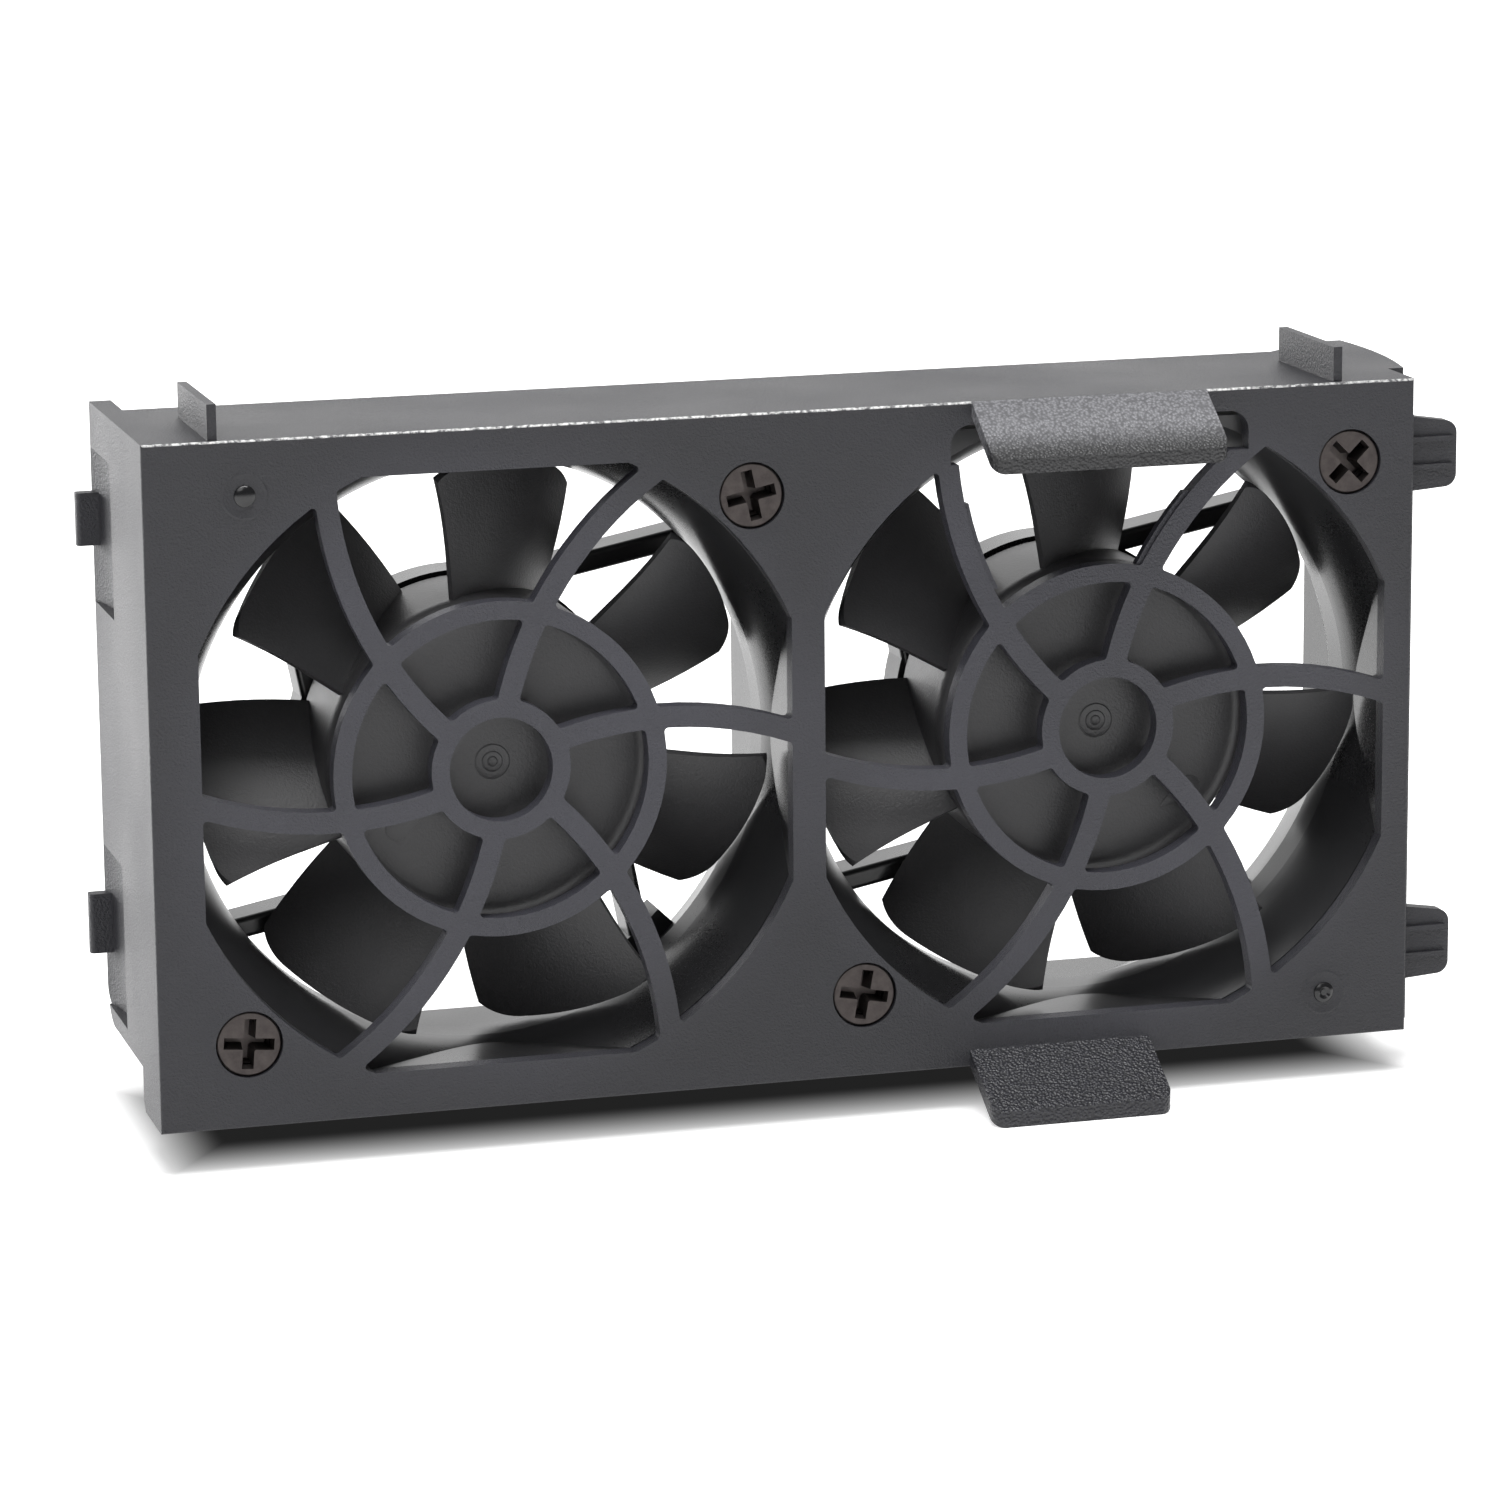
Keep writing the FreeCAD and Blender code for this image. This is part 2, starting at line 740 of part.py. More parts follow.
def blade_section(share, middle):
    """Closed outline of a blade between its root (share 0) and its tip (share 1)."""
    root_reach = (hub_radius - blade_root_sink) * math.cos(math.radians(blade_trail_root_angle - middle))
    reach = blend(root_reach - blade_root_sink, blade_tip_radius + blade_margin, share)
    hollow = blade_lead_hollow * math.sin(math.pi * share)
    lead = blend(blade_lead_root_angle, blade_lead_tip_angle, share) - hollow - middle
    trail = blend(blade_trail_root_angle, blade_trail_tip_angle, share) - middle
    thickness = blend(blade_root_thickness, blade_tip_thickness, share)
    front_points, rear_points = section_sides(reach, lead, trail, thickness)
    front_curve = Part.BSplineCurve()
    front_curve.interpolate(front_points)
    rear_curve = Part.BSplineCurve()
    rear_curve.interpolate(rear_points)
    edges = [front_curve.toShape(), line(front_points[-1], rear_points[-1]),
             rear_curve.toShape(), line(rear_points[0], front_points[0])]
    return Part.Wire(Part.__sortEdges__(edges))


def blade_envelope():
    """Ring that trims the blades: root inside the hub wall, tip with rounded corners."""
    inner = hub_radius - blade_root_sink
    front = blade_front - blade_margin
    rear = blade_rear + blade_margin
    tip = blade_tip_radius
    edges = [line(V(inner, front, 0), V(tip - blade_lead_corner, front, 0)),
             quarter(V(tip - blade_lead_corner, front, 0), V(tip, front + blade_lead_corner, 0)),
             line(V(tip, front + blade_lead_corner, 0), V(tip, rear - blade_trail_corner, 0)),
             quarter(V(tip - blade_trail_corner, rear, 0), V(tip, rear - blade_trail_corner, 0)),
             line(V(tip - blade_trail_corner, rear, 0), V(inner, rear, 0)),
             line(V(inner, rear, 0), V(inner, front, 0))]
    return filled(edges).revolve(ORIGIN, ALONG_Y, FULL_TURN)


def blade():
    """Swept blade, its sections carried from the hub wall to the rounded tip."""
    middle = (blade_lead_root_angle + blade_trail_root_angle) / 2
    last = blade_stations - 1
    sections = [blade_section(index / last, middle) for index in range(blade_stations)]
    swept = turned(Part.makeLoft(sections, True, False), middle)
    return swept.common(blade_envelope())


def impeller(turn):
    """Hub with its ring of blades, the first blade at the given angle."""
    return joined([hub_cup()] + around(blade(), blade_count, turn))


# ------------------------------------------------------------------ rotor pieces

def yoke_inner_front():
    """Depth of the inner face of the yoke disc, where the rotor pieces are seated."""
    return hub_front + hub_wall + yoke_wall


def yoke_outer_radius():
    """Outer radius of the steel cup inside the hub."""
    return hub_radius - hub_wall - yoke_clearance


def magnet_radius():
    """Outer radius of the magnet ring."""
    return yoke_outer_radius() - yoke_wall - magnet_clearance


def core_radius():
    """Outer radius of the stator core, an air gap inside the magnet."""
    return magnet_radius() - magnet_wall - air_gap


def rotor_yoke():
    """Steel cup that lines the hub."""
    outer = yoke_outer_radius()
    cup = rod(outer, hub_front + hub_wall, yoke_rear)
    return cup.cut(rod(outer - yoke_wall, yoke_inner_front(), yoke_rear))


def ring_magnet():
    """Magnet ring inside the yoke, seated on its disc."""
    outer = magnet_radius()
    return pipe(outer, outer - magnet_wall, yoke_inner_front(), magnet_rear)


def shaft():
    """Shaft from the yoke disc to the rear of the tube, with a groove for the clip."""
    pin = rod(shaft_radius, yoke_inner_front(), shaft_rear)
    groove = pipe(shaft_radius, shaft_radius - clip_groove_sink, clip_front, clip_front + clip_thickness)
    return pin.cut(groove)


def shaft_bushing():
    """Metal bush that holds the shaft square to the yoke disc."""
    start = yoke_inner_front()
    return pipe(bushing_radius, shaft_radius + bushing_clearance, start, start + bushing_length)


def preload_spring():
    """Cone spring between the bush and the front bearing."""
    start = yoke_inner_front() + bushing_length
    outline = [V(spring_inner_radius, start + spring_rise, 0), V(spring_outer_radius, start, 0),
               V(spring_outer_radius, start + spring_thickness, 0),
               V(spring_inner_radius, start + spring_rise + spring_thickness, 0)]
    face = Part.Face(Part.makePolygon(outline + [outline[0]]))
    return face.revolve(ORIGIN, ALONG_Y, FULL_TURN)


def retaining_clip():
    """Open ring in the groove of the shaft."""
    rear = clip_front + clip_thickness
    ring = pipe(clip_radius, shaft_radius - clip_groove_sink + clip_groove_clearance, clip_front, rear)
    half = clip_mouth_width / 2
    return ring.cut(block(-half, half, clip_front, rear, -clip_radius, 0))


# ------------------------------------------------------------------ stator pieces

def bearing(front):
    """Shielded ball bearing: a ring whose front shield sits below its outer race."""
    rear = front + bearing_length
    ring = pipe(bearing_radius, shaft_radius + shaft_clearance, front, rear)
    return ring.cut(rod(bearing_shield_radius, front, front + bearing_shield_sink))


def front_bearing():
    """Bearing in the front seat of the tube."""
    return bearing(bearing_tube_front)


def rear_bearing():
    """Bearing in the rear seat of the tube."""
    return bearing(clip_front - bearing_length - shaft_clearance)


def pole_neck(half_width, reach_from, reach_to, y_from, y_to):
    """Straight bar that runs out along X from the axis."""
    return block(reach_from, reach_to, y_from, y_to, -half_width, half_width)


def pole_shoe():
    """Curved shoe at the end of a pole."""
    outer = core_radius()
    inner = outer - pole_shoe_width
    edges = []
    for radius in (inner, outer):
        edges.append(arc(polar(radius, -pole_shoe_half_angle, core_front), polar(radius, 0, core_front),
                         polar(radius, pole_shoe_half_angle, core_front)))
    for angle in (-pole_shoe_half_angle, pole_shoe_half_angle):
        edges.append(line(polar(inner, angle, core_front), polar(outer, angle, core_front)))
    return filled(edges).extrude(ALONG_Y * (core_rear - core_front))


def stator_core():
    """Laminated core with its poles."""
    bore = bearing_tube_radius + core_clearance
    ring = pipe(core_ring_radius, bore, core_front, core_rear)
    neck = pole_neck(pole_neck_width / 2, (core_ring_radius + bore) / 2,
                     core_radius() - pole_shoe_width / 2, core_front, core_rear)
    return joined([ring] + around(joined([neck, pole_shoe()]), pole_count))


def insulator_wall_reach():
    """Reach of the bobbin wall's outer face, where its corners meet the pole shoe."""
    shoe_inner = core_radius() - pole_shoe_width
    return math.sqrt(shoe_inner ** 2 - insulator_wall_half_width ** 2)


def insulator_pole():
    """Sleeve about one pole neck with a wall at its outer end."""
    front = core_front - insulator_plate
    rear = core_rear + insulator_plate
    half = pole_neck_width / 2 + insulator_sleeve
    outer = insulator_wall_reach()
    sleeve = pole_neck(half, core_ring_radius - insulator_wall, outer, front, rear)
    wall = pole_neck(insulator_wall_half_width, outer - insulator_wall, outer,
                     front - insulator_wall_rise, rear + insulator_wall_rise)
    return joined([sleeve, wall])


def coil_insulator():
    """Bobbin over the core: two ring plates joined by a sleeve on each pole."""
    bore = bearing_tube_radius + core_clearance
    plates = [pipe(core_ring_radius, bore, core_front - insulator_plate, core_front),
              pipe(core_ring_radius, bore, core_rear, core_rear + insulator_plate)]
    body = joined(plates + around(insulator_pole(), pole_count))
    return body.cut(stator_core())


def coil():
    """Winding about one pole."""
    half = pole_neck_width / 2 + insulator_sleeve
    front = core_front - insulator_plate
    rear = core_rear + insulator_plate
    outer = insulator_wall_reach() - insulator_wall
    winding = pole_neck(half + coil_build, coil_inner_reach, outer,
                        front - coil_build, rear + coil_build)
    winding = rounded(winding, coil_corner_radius, ALONG_X, lambda point: True)
    return winding.cut(pole_neck(half, coil_inner_reach, outer, front, rear))


def coils():
    """The windings of one fan."""
    return Part.makeCompound(around(coil(), pole_count))


def circuit_board():
    """Round board with its driver chip."""
    board = pipe(board_radius, board_hole_radius, board_front, board_front + board_thickness)
    chip = block(chip_reach - chip_width / 2, chip_reach + chip_width / 2,
                 board_front - chip_height, board_front, -chip_length / 2, chip_length / 2)
    return joined([board, turned(chip, FULL_TURN / pole_count / 2)])


def bearing_cap():
    """Plug that closes the bearing tube at the rear."""
    rear = plate_thickness + fan_depth - rear_recess_depth
    disc = rod(cap_radius - shaft_clearance, rear - cap_thickness, rear)
    boss = rod(cap_boss_radius, rear - cap_thickness, rear + cap_boss_height)
    return joined([disc, boss])


# ------------------------------------------------------------------ the module

def fan_pieces(impeller_turn):
    """Pieces of one fan, about its own axis."""
    return {
        "fan_frame": fan_frame(),
        "motor_base": motor_base(),
        "impeller": impeller(impeller_turn),
        "rotor_yoke": rotor_yoke(),
        "ring_magnet": ring_magnet(),
        "shaft": shaft(),
        "shaft_bushing": shaft_bushing(),
        "preload_spring": preload_spring(),
        "retaining_clip": retaining_clip(),
        "front_bearing": front_bearing(),
        "rear_bearing": rear_bearing(),
        "stator_core": stator_core(),
        "coil_insulator": coil_insulator(),
        "coils": coils(),
        "circuit_board": circuit_board(),
        "bearing_cap": bearing_cap(),
    }


def build():
    """Write every piece of the module in its place."""
    pieces = {"bracket": bracket(), "fan_screws": fan_screws()}
    left_x, right_x = fan_axes()
    fans = [("left", left_x, left_impeller_turn), ("right", right_x, right_impeller_turn)]
    for side, axis_x, impeller_turn in fans:
        for name, shape in fan_pieces(impeller_turn).items():
            pieces[f"{side}_{name}"] = shape.translated(V(axis_x, 0, fan_axis_height))
    for name, shape in pieces.items():
        shape.exportStep(f"parts/{name}.step")


build()
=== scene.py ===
"""Twin server fan module: finishes, small moulded details, screws, studio and camera.

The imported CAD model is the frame. The classes below dress its nodes and put finer pieces in
the place of those that need them. Lengths are in metres, in the row frame: +X to the right,
+Y from the grille back through the fans, +Z up.
"""
import json
import logging
import math
from collections.abc import Callable, Iterable
from dataclasses import dataclass, field, replace
from enum import Enum, IntEnum

import bpy
from mathutils import Matrix, Vector

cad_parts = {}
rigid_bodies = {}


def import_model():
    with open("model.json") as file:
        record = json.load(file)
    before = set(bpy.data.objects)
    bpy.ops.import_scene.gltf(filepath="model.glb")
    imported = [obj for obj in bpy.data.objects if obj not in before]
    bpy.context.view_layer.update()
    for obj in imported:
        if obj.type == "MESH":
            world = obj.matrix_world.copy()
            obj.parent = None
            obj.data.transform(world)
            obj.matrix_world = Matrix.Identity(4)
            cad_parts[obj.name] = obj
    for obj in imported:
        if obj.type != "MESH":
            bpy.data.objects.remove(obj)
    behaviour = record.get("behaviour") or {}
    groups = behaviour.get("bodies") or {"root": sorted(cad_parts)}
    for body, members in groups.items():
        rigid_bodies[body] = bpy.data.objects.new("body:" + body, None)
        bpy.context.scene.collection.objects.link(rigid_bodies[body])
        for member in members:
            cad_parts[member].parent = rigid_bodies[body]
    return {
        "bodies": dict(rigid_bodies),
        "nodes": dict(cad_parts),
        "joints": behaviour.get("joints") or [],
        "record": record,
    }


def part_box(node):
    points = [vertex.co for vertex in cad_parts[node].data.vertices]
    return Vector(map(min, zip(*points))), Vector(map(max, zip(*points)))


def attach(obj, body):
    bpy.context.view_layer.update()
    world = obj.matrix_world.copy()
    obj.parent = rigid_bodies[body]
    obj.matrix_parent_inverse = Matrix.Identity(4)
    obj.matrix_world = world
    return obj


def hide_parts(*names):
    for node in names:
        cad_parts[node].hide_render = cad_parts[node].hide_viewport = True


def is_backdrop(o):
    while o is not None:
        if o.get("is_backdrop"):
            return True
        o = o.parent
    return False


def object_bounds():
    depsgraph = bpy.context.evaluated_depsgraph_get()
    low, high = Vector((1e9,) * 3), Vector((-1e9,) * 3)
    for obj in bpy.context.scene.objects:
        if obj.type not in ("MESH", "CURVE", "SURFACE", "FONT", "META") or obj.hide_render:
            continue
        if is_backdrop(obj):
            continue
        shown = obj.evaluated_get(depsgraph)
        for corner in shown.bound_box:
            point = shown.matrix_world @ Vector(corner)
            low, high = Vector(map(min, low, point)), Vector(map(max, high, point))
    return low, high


LOG = logging.getLogger("server_fan_module")
MM = 0.001
TOUCH = 1e-6  # two points or faces nearer than this are one

Colour = tuple[float, float, float]
Place = tuple[float, float, float]
Span = tuple[float, float]  # where something starts and ends
Spot = tuple[float, float]  # a place on the face, across and up from a fan's axis
Step = tuple[float, float]  # width of an inset and the move after it, negative to the front


# ---------------------------------------------------------------- tools for modelling

def deselect() -> None:
    """Leave edit mode and deselect everything."""
    if bpy.context.object and bpy.context.object.mode != "OBJECT":
        bpy.ops.object.mode_set(mode="OBJECT")
    bpy.ops.object.select_all(action="DESELECT")


def activate(piece: bpy.types.Object) -> None:
    """Make one object the selected and active one.

    Args:
        piece: The object to work on.
    """
    deselect()
    piece.select_set(True)
    bpy.context.view_layer.objects.active = piece


def settle(piece: bpy.types.Object, name: str) -> bpy.types.Object:
    """Write an object's place into its mesh and name it.

    Args:
        piece: The object that was just modelled.
        name: Its name in the table of pieces.

    Returns:
        The same object, at the origin and unturned.
    """
    activate(piece)
    bpy.ops.object.transform_apply(location=True, rotation=True, scale=True)
    piece.name = name
    piece.data.name = name
    return piece


def apply_modifier(piece: bpy.types.Object, kind: str, **settings: object) -> None:
    """Add a modifier, set it and apply it.

    Args:
        piece: The object to change.
        kind: Blender's name for the modifier type.
        settings: Values for the modifier's own properties.
    """
    activate(piece)
    modifier = piece.modifiers.new(kind.lower(), kind)
    for key, value in settings.items():
        setattr(modifier, key, value)
    bpy.ops.object.modifier_apply(modifier=modifier.name)


def smooth(piece: bpy.types.Object, angle: float) -> None:
    """Shade an object smooth, with sharp edges past an angle in degrees."""
    activate(piece)
    bpy.ops.object.shade_smooth_by_angle(angle=math.radians(angle))


def flatten_shading(piece: bpy.types.Object) -> None:
    """Let the large faces keep their own normals where they meet narrow rounded edges."""
    apply_modifier(piece, "WEIGHTED_NORMAL", mode="FACE_AREA", weight=100, keep_sharp=True)


def recalculate(piece: bpy.types.Object) -> None:
    """Turn all faces of a closed mesh outwards."""
    activate(piece)
    bpy.ops.object.mode_set(mode="EDIT")
    bpy.ops.mesh.select_all(action="SELECT")
    bpy.ops.mesh.normals_make_consistent(inside=False)
    bpy.ops.object.mode_set(mode="OBJECT")


def welded_copy(node: bpy.types.Object, name: str) -> bpy.types.Object:
    """Copy a CAD node, weld its loose triangles and merge its flat faces.

    Args:
        node: The CAD node.
        name: The copy's name.

    Returns:
        The copy, free of the node's parent and marks.
    """
    activate(node)
    bpy.ops.object.duplicate()
    copy = bpy.context.object
    copy.parent = None
    for key in list(copy.keys()):
        del copy[key]
    bpy.ops.object.mode_set(mode="EDIT")
    bpy.ops.mesh.select_all(action="SELECT")
    bpy.ops.mesh.remove_doubles(threshold=TOUCH)
    bpy.ops.mesh.dissolve_limited(angle_limit=math.radians(1.0))
    bpy.ops.object.mode_set(mode="OBJECT")
    return settle(copy, name)


def disc(radius: float, depth: float, place: Vector, sides: int = 64) -> bpy.types.Object:
    """Add a short cylinder whose axis runs along Y.

    Args:
        radius: Its radius.
        depth: Its length along Y.
        place: The middle of its front face.
        sides: Number of sides.

    Returns:
        The new object.
    """
    deselect()
    middle = place + Vector((0, depth / 2, 0))
    bpy.ops.mesh.primitive_cylinder_add(vertices=sides, radius=radius, depth=depth,
                                        location=middle, rotation=(math.radians(90), 0, 0))
    return bpy.context.object


def edit_faces(piece: bpy.types.Object, chosen: Callable[[bpy.types.MeshPolygon], bool]) -> None:
    """Go into edit mode with only the chosen faces selected.

    Args:
        piece: The object to edit.
        chosen: Says of each face whether it is selected.
    """
    activate(piece)
    bpy.ops.object.mode_set(mode="EDIT")
    bpy.ops.mesh.select_mode(type="FACE")
    bpy.ops.mesh.select_all(action="DESELECT")
    bpy.ops.object.mode_set(mode="OBJECT")
    for polygon in piece.data.polygons:
        polygon.select = chosen(polygon)
    bpy.ops.object.mode_set(mode="EDIT")


def step_front(piece: bpy.types.Object, steps: Iterable[Step]) -> None:
    """Shape the front face of a disc by a run of insets and moves along Y.

    Args:
        piece: A disc from disc(), its place already in its mesh.
        steps: Pairs of inset width and move; a negative move stands out to the front.
    """
    front = min(vertex.co.y for vertex in piece.data.vertices)
    edit_faces(piece, lambda polygon: abs(polygon.center.y - front) < TOUCH)
    for width, move in steps:
        bpy.ops.mesh.inset(thickness=width)
        bpy.ops.transform.translate(value=(0, move, 0))
    bpy.ops.object.mode_set(mode="OBJECT")


# ---------------------------------------------------------------- finishes

class Tree:
    """Short way to add and join the nodes of a tree."""

    def __init__(self, tree: bpy.types.NodeTree) -> None:
        """Take the tree to work on."""
        self.tree = tree

    def add(self, kind: str, **inputs: object) -> bpy.types.Node:
        """Add a node.

        Args:
            kind: Blender's type name of the node.
            inputs: Values for its sockets, with underscores for spaces in their names.

        Returns:
            The new node.
        """
        node = self.tree.nodes.new(kind)
        for key, value in inputs.items():
            node.inputs[key.replace("_", " ")].default_value = value
        return node

    def link(self, start: bpy.types.NodeSocket, end: bpy.types.NodeSocket) -> None:
        """Join an output to an input."""
        self.tree.links.new(start, end)

    def spread(self, value: bpy.types.NodeSocket, low: float, high: float,
               new_low: float, new_high: float) -> bpy.types.NodeSocket:
        """Map a value from one range to another."""
        node = self.add("ShaderNodeMapRange")
        for key, number in zip(("From Min", "From Max", "To Min", "To Max"),
                               (low, high, new_low, new_high)):
            node.inputs[key].default_value = number
        self.link(value, node.inputs["Value"])
        return node.outputs["Result"]

    def soft(self, value: bpy.types.NodeSocket, low: float, high: float,
             new_low: float, new_high: float) -> bpy.types.NodeSocket:
        """Map a value from one range to another with soft ends."""
        result = self.spread(value, low, high, new_low, new_high)
        result.node.interpolation_type = "SMOOTHSTEP"
        return result

    def math(self, kind: str, first: bpy.types.NodeSocket,
             second: bpy.types.NodeSocket | float | Place | None = None) -> bpy.types.NodeSocket:
        """Work out a number from one or two others, or from one or two vectors.

        Args:
            kind: Blender's name of the sum; LENGTH and DISTANCE are sums of vectors.
            first: The first value.
            second: The second value, a socket or a constant, if the sum has one.

        Returns:
            The result.
        """
        vector = kind in ("LENGTH", "DISTANCE")
        node = self.add("ShaderNodeVectorMath" if vector else "ShaderNodeMath")
        node.operation = kind
        self.link(first, node.inputs[0])
        if isinstance(second, (int, float, tuple)):
            node.inputs[1].default_value = second
        elif second is not None:
            self.link(second, node.inputs[1])
        return node.outputs["Value"]

    def split(self, vector: bpy.types.NodeSocket) -> bpy.types.Node:
        """Add a node whose outputs X, Y and Z are a vector's parts."""
        node = self.add("ShaderNodeSeparateXYZ")
        self.link(vector, node.inputs[0])
        return node

    def mix(self, share: bpy.types.NodeSocket, first: Colour,
            second: Colour) -> bpy.types.NodeSocket:
        """Mix two colours by a value."""
        node = self.add("ShaderNodeMix")
        node.data_type = "RGBA"
        node.inputs["A"].default_value = (*first, 1.0)
        node.inputs["B"].default_value = (*second, 1.0)
        self.link(share, node.inputs["Factor"])
        return node.outputs["Result"]

    def lighten(self, colour: bpy.types.NodeSocket,
                times: bpy.types.NodeSocket) -> bpy.types.NodeSocket:
        """Multiply a colour by a value."""
        node = self.add("ShaderNodeVectorMath")
        node.operation = "SCALE"
        self.link(colour, node.inputs[0])
        self.link(times, node.inputs["Scale"])
        return node.outputs["Vector"]

    def choose(self, switch: bpy.types.NodeSocket, when_off: bpy.types.NodeSocket,
               when_on: bpy.types.NodeSocket) -> bpy.types.NodeSocket:
        """Give one of two values by a switch that is 0 or 1."""
        node = self.add("ShaderNodeMix")
        node.data_type = "FLOAT"
        self.link(switch, node.inputs["Factor"])
        self.link(when_off, node.inputs["A"])
        self.link(when_on, node.inputs["B"])
        return node.outputs["Result"]


class Nodes(Tree):
    """The node tree of one material, with a Principled shader."""

    def __init__(self, name: str) -> None:
        """Start a plain material.

        Args:
            name: The material's name.
        """
        self.material = bpy.data.materials.new(name)
        self.material.use_nodes = True
        super().__init__(self.material.node_tree)
        self.shader = self.tree.nodes["Principled BSDF"]
        self.position = self.add("ShaderNodeTexCoord").outputs["Object"]

    def noise(self, scale: float, detail: float = 2.0,
              roughness: float = 0.5) -> bpy.types.NodeSocket:
        """Add noise on object coordinates and give back its value."""
        node = self.add("ShaderNodeTexNoise", Scale=scale, Detail=detail, Roughness=roughness)
        self.link(self.position, node.inputs["Vector"])
        return node.outputs["Fac"]

    def bump(self, height: bpy.types.NodeSocket, distance: float, strength: float,
             under: bpy.types.NodeSocket | None = None) -> bpy.types.NodeSocket:
        """Add a bump over an earlier normal, if there is one."""
        node = self.add("ShaderNodeBump", Strength=strength, Distance=distance)
        self.link(height, node.inputs["Height"])
        if under is not None:
            self.link(under, node.inputs["Normal"])
        return node.outputs["Normal"]

    def set(self, **values: object) -> None:
        """Set constants on the shader's own sockets."""
        for key, value in values.items():
            self.shader.inputs[key.replace("_", " ")].default_value = value

    def feed(self, **sources: bpy.types.NodeSocket) -> None:
        """Link node outputs to the shader's sockets."""
        for key, value in sources.items():
            self.link(value, self.shader.inputs[key.replace("_", " ")])


def rgb(red: float, green: float, blue: float) -> Colour:
    """Colour as written in a dataclass field."""
    return (red, green, blue)


def shade(colour: Colour, share: float) -> Colour:
    """Multiply a colour by a number."""
    return tuple(part * share for part in colour)


MIDDLE = (0.3, 0.7)  # the stretch that most noise values lie in


@dataclass(frozen=True)
class MouldedPlastic:
    """Moulded plastic: a spark-eroded grain and slow patches of tone and gloss.

    About each of its axes its colour is painted lighter by the given factor, a painted pool of
    light:
    fully within the first distance of its reach, and not at all past the second.
    """

    name: str
    colour: Colour = rgb(0.0165, 0.0165, 0.0205)
    tone_spread: float = 0.34
    wear_and_glow: float = 1.0
    glow_axes: tuple[Vector, ...] = ()
    glow_reach: Span = (22 * MM, 36 * MM)
    roughness: float = 0.46
    roughness_spread: float = 0.10
    grain_size: float = 0.27 * MM
    grain_height: float = 0.16 * MM
    grain_strength: float = 1.0
    grain_detail: float = 3.0
    grain_contrast: float = 0.65
    grain_share: float = 0.6
    patch_scale: float = 45.0
    patch_share: Span = (-0.1, 0.5)

    def material(self) -> bpy.types.Material:
        """Build the node material."""
        nodes = Nodes(self.name)
        grain = nodes.noise(1.0 / self.grain_size, self.grain_detail, self.grain_contrast)
        mixed = self.mixed(nodes, grain)
        tone = nodes.mix(mixed, shade(self.colour, 1 - self.tone_spread),
                         shade(self.colour, 1 + self.tone_spread))
        # Painted pool of light: the colour is lightened about each fan axis.
        for axis in self.glow_axes:
            tone = nodes.lighten(tone, self.near(nodes, axis))
        rough = nodes.spread(mixed, 0.0, 1.0, self.roughness - self.roughness_spread,
                             self.roughness + self.roughness_spread)
        nodes.feed(Base_Color=tone, Roughness=rough,
                   Normal=nodes.bump(grain, self.grain_height, self.grain_strength))
        return nodes.material

    def mixed(self, nodes: Nodes, grain: bpy.types.NodeSocket) -> bpy.types.NodeSocket:
        """Add the slow patches to the grain, which together drive tone and gloss."""
        patches = nodes.spread(nodes.noise(self.patch_scale), *MIDDLE, *self.patch_share)
        node = nodes.add("ShaderNodeMath")
        node.operation = "MULTIPLY_ADD"
        nodes.link(grain, node.inputs[0])
        node.inputs[1].default_value = self.grain_share
        nodes.link(patches, node.inputs[2])
        return node.outputs[0]

    def near(self, nodes: Nodes, axis: Vector) -> bpy.types.NodeSocket:
        """Give how much lighter the plastic is painted about an axis: a painted pool of light."""
        flat = nodes.add("ShaderNodeVectorMath")
        flat.operation = "MULTIPLY"
        nodes.link(nodes.position, flat.inputs[0])
        flat.inputs[1].default_value = (1.0, 0.0, 1.0)
        away = nodes.math("DISTANCE", flat.outputs["Vector"], (axis.x, 0.0, axis.z))
        return nodes.soft(away, *self.glow_reach, self.wear_and_glow, 1.0)


@dataclass(frozen=True)
class PebbledPlastic:
    """Plastic with a coarse pebbled grip texture, its crests painted lighter as glints and its
    hollows darker as shade.

    Towards its front rim, over a span along Y, it is painted darker, down to a share of the
    brightness of the rest: a painted shade on the rim.
    """

    name: str
    colour: Colour = rgb(0.030, 0.030, 0.033)
    lip_shade_share: float = 1.0
    lip_shade_reach: Span = (-6.6 * MM, -3.0 * MM)
    pebble_size: float = 0.30 * MM
    pebble_reach: float = 0.75
    pebble_height: float = 0.14 * MM
    pebble_strength: float = 0.8
    valley_shade_share: float = 0.75
    crest_glint_share: float = 2.2
    pits_per_pebble: float = 2.2
    pit_height: float = 0.14 * MM / 3
    pit_strength: float = 0.5
    roughness: Span = (0.26, 0.51)

    def material(self) -> bpy.types.Material:
        """Build the node material."""
        nodes = Nodes(self.name)
        cells = nodes.add("ShaderNodeTexVoronoi", Scale=1.0 / self.pebble_size, Randomness=1.0)
        nodes.link(nodes.position, cells.inputs["Vector"])
        pebbles = nodes.spread(cells.outputs["Distance"], 0.0, self.pebble_reach, 1.0, 0.0)
        pits = nodes.noise(self.pits_per_pebble / self.pebble_size)
        normal = nodes.bump(pebbles, self.pebble_height, self.pebble_strength)
        normal = nodes.bump(pits, self.pit_height, self.pit_strength, normal)
        # Painted shade: darker towards the front rim.
        lip_shade = nodes.soft(nodes.split(nodes.position).outputs["Y"], *self.lip_shade_reach,
                         self.lip_shade_share, 1.0)
        # Pebble crests are painted lighter as glints and the hollows darker as shade.
        tone = nodes.mix(pebbles, shade(self.colour, self.valley_shade_share),
                         shade(self.colour, self.crest_glint_share))
        nodes.feed(Base_Color=nodes.lighten(tone, lip_shade), Normal=normal,
                   Roughness=nodes.spread(pits, *MIDDLE, *self.roughness))
        return nodes.material


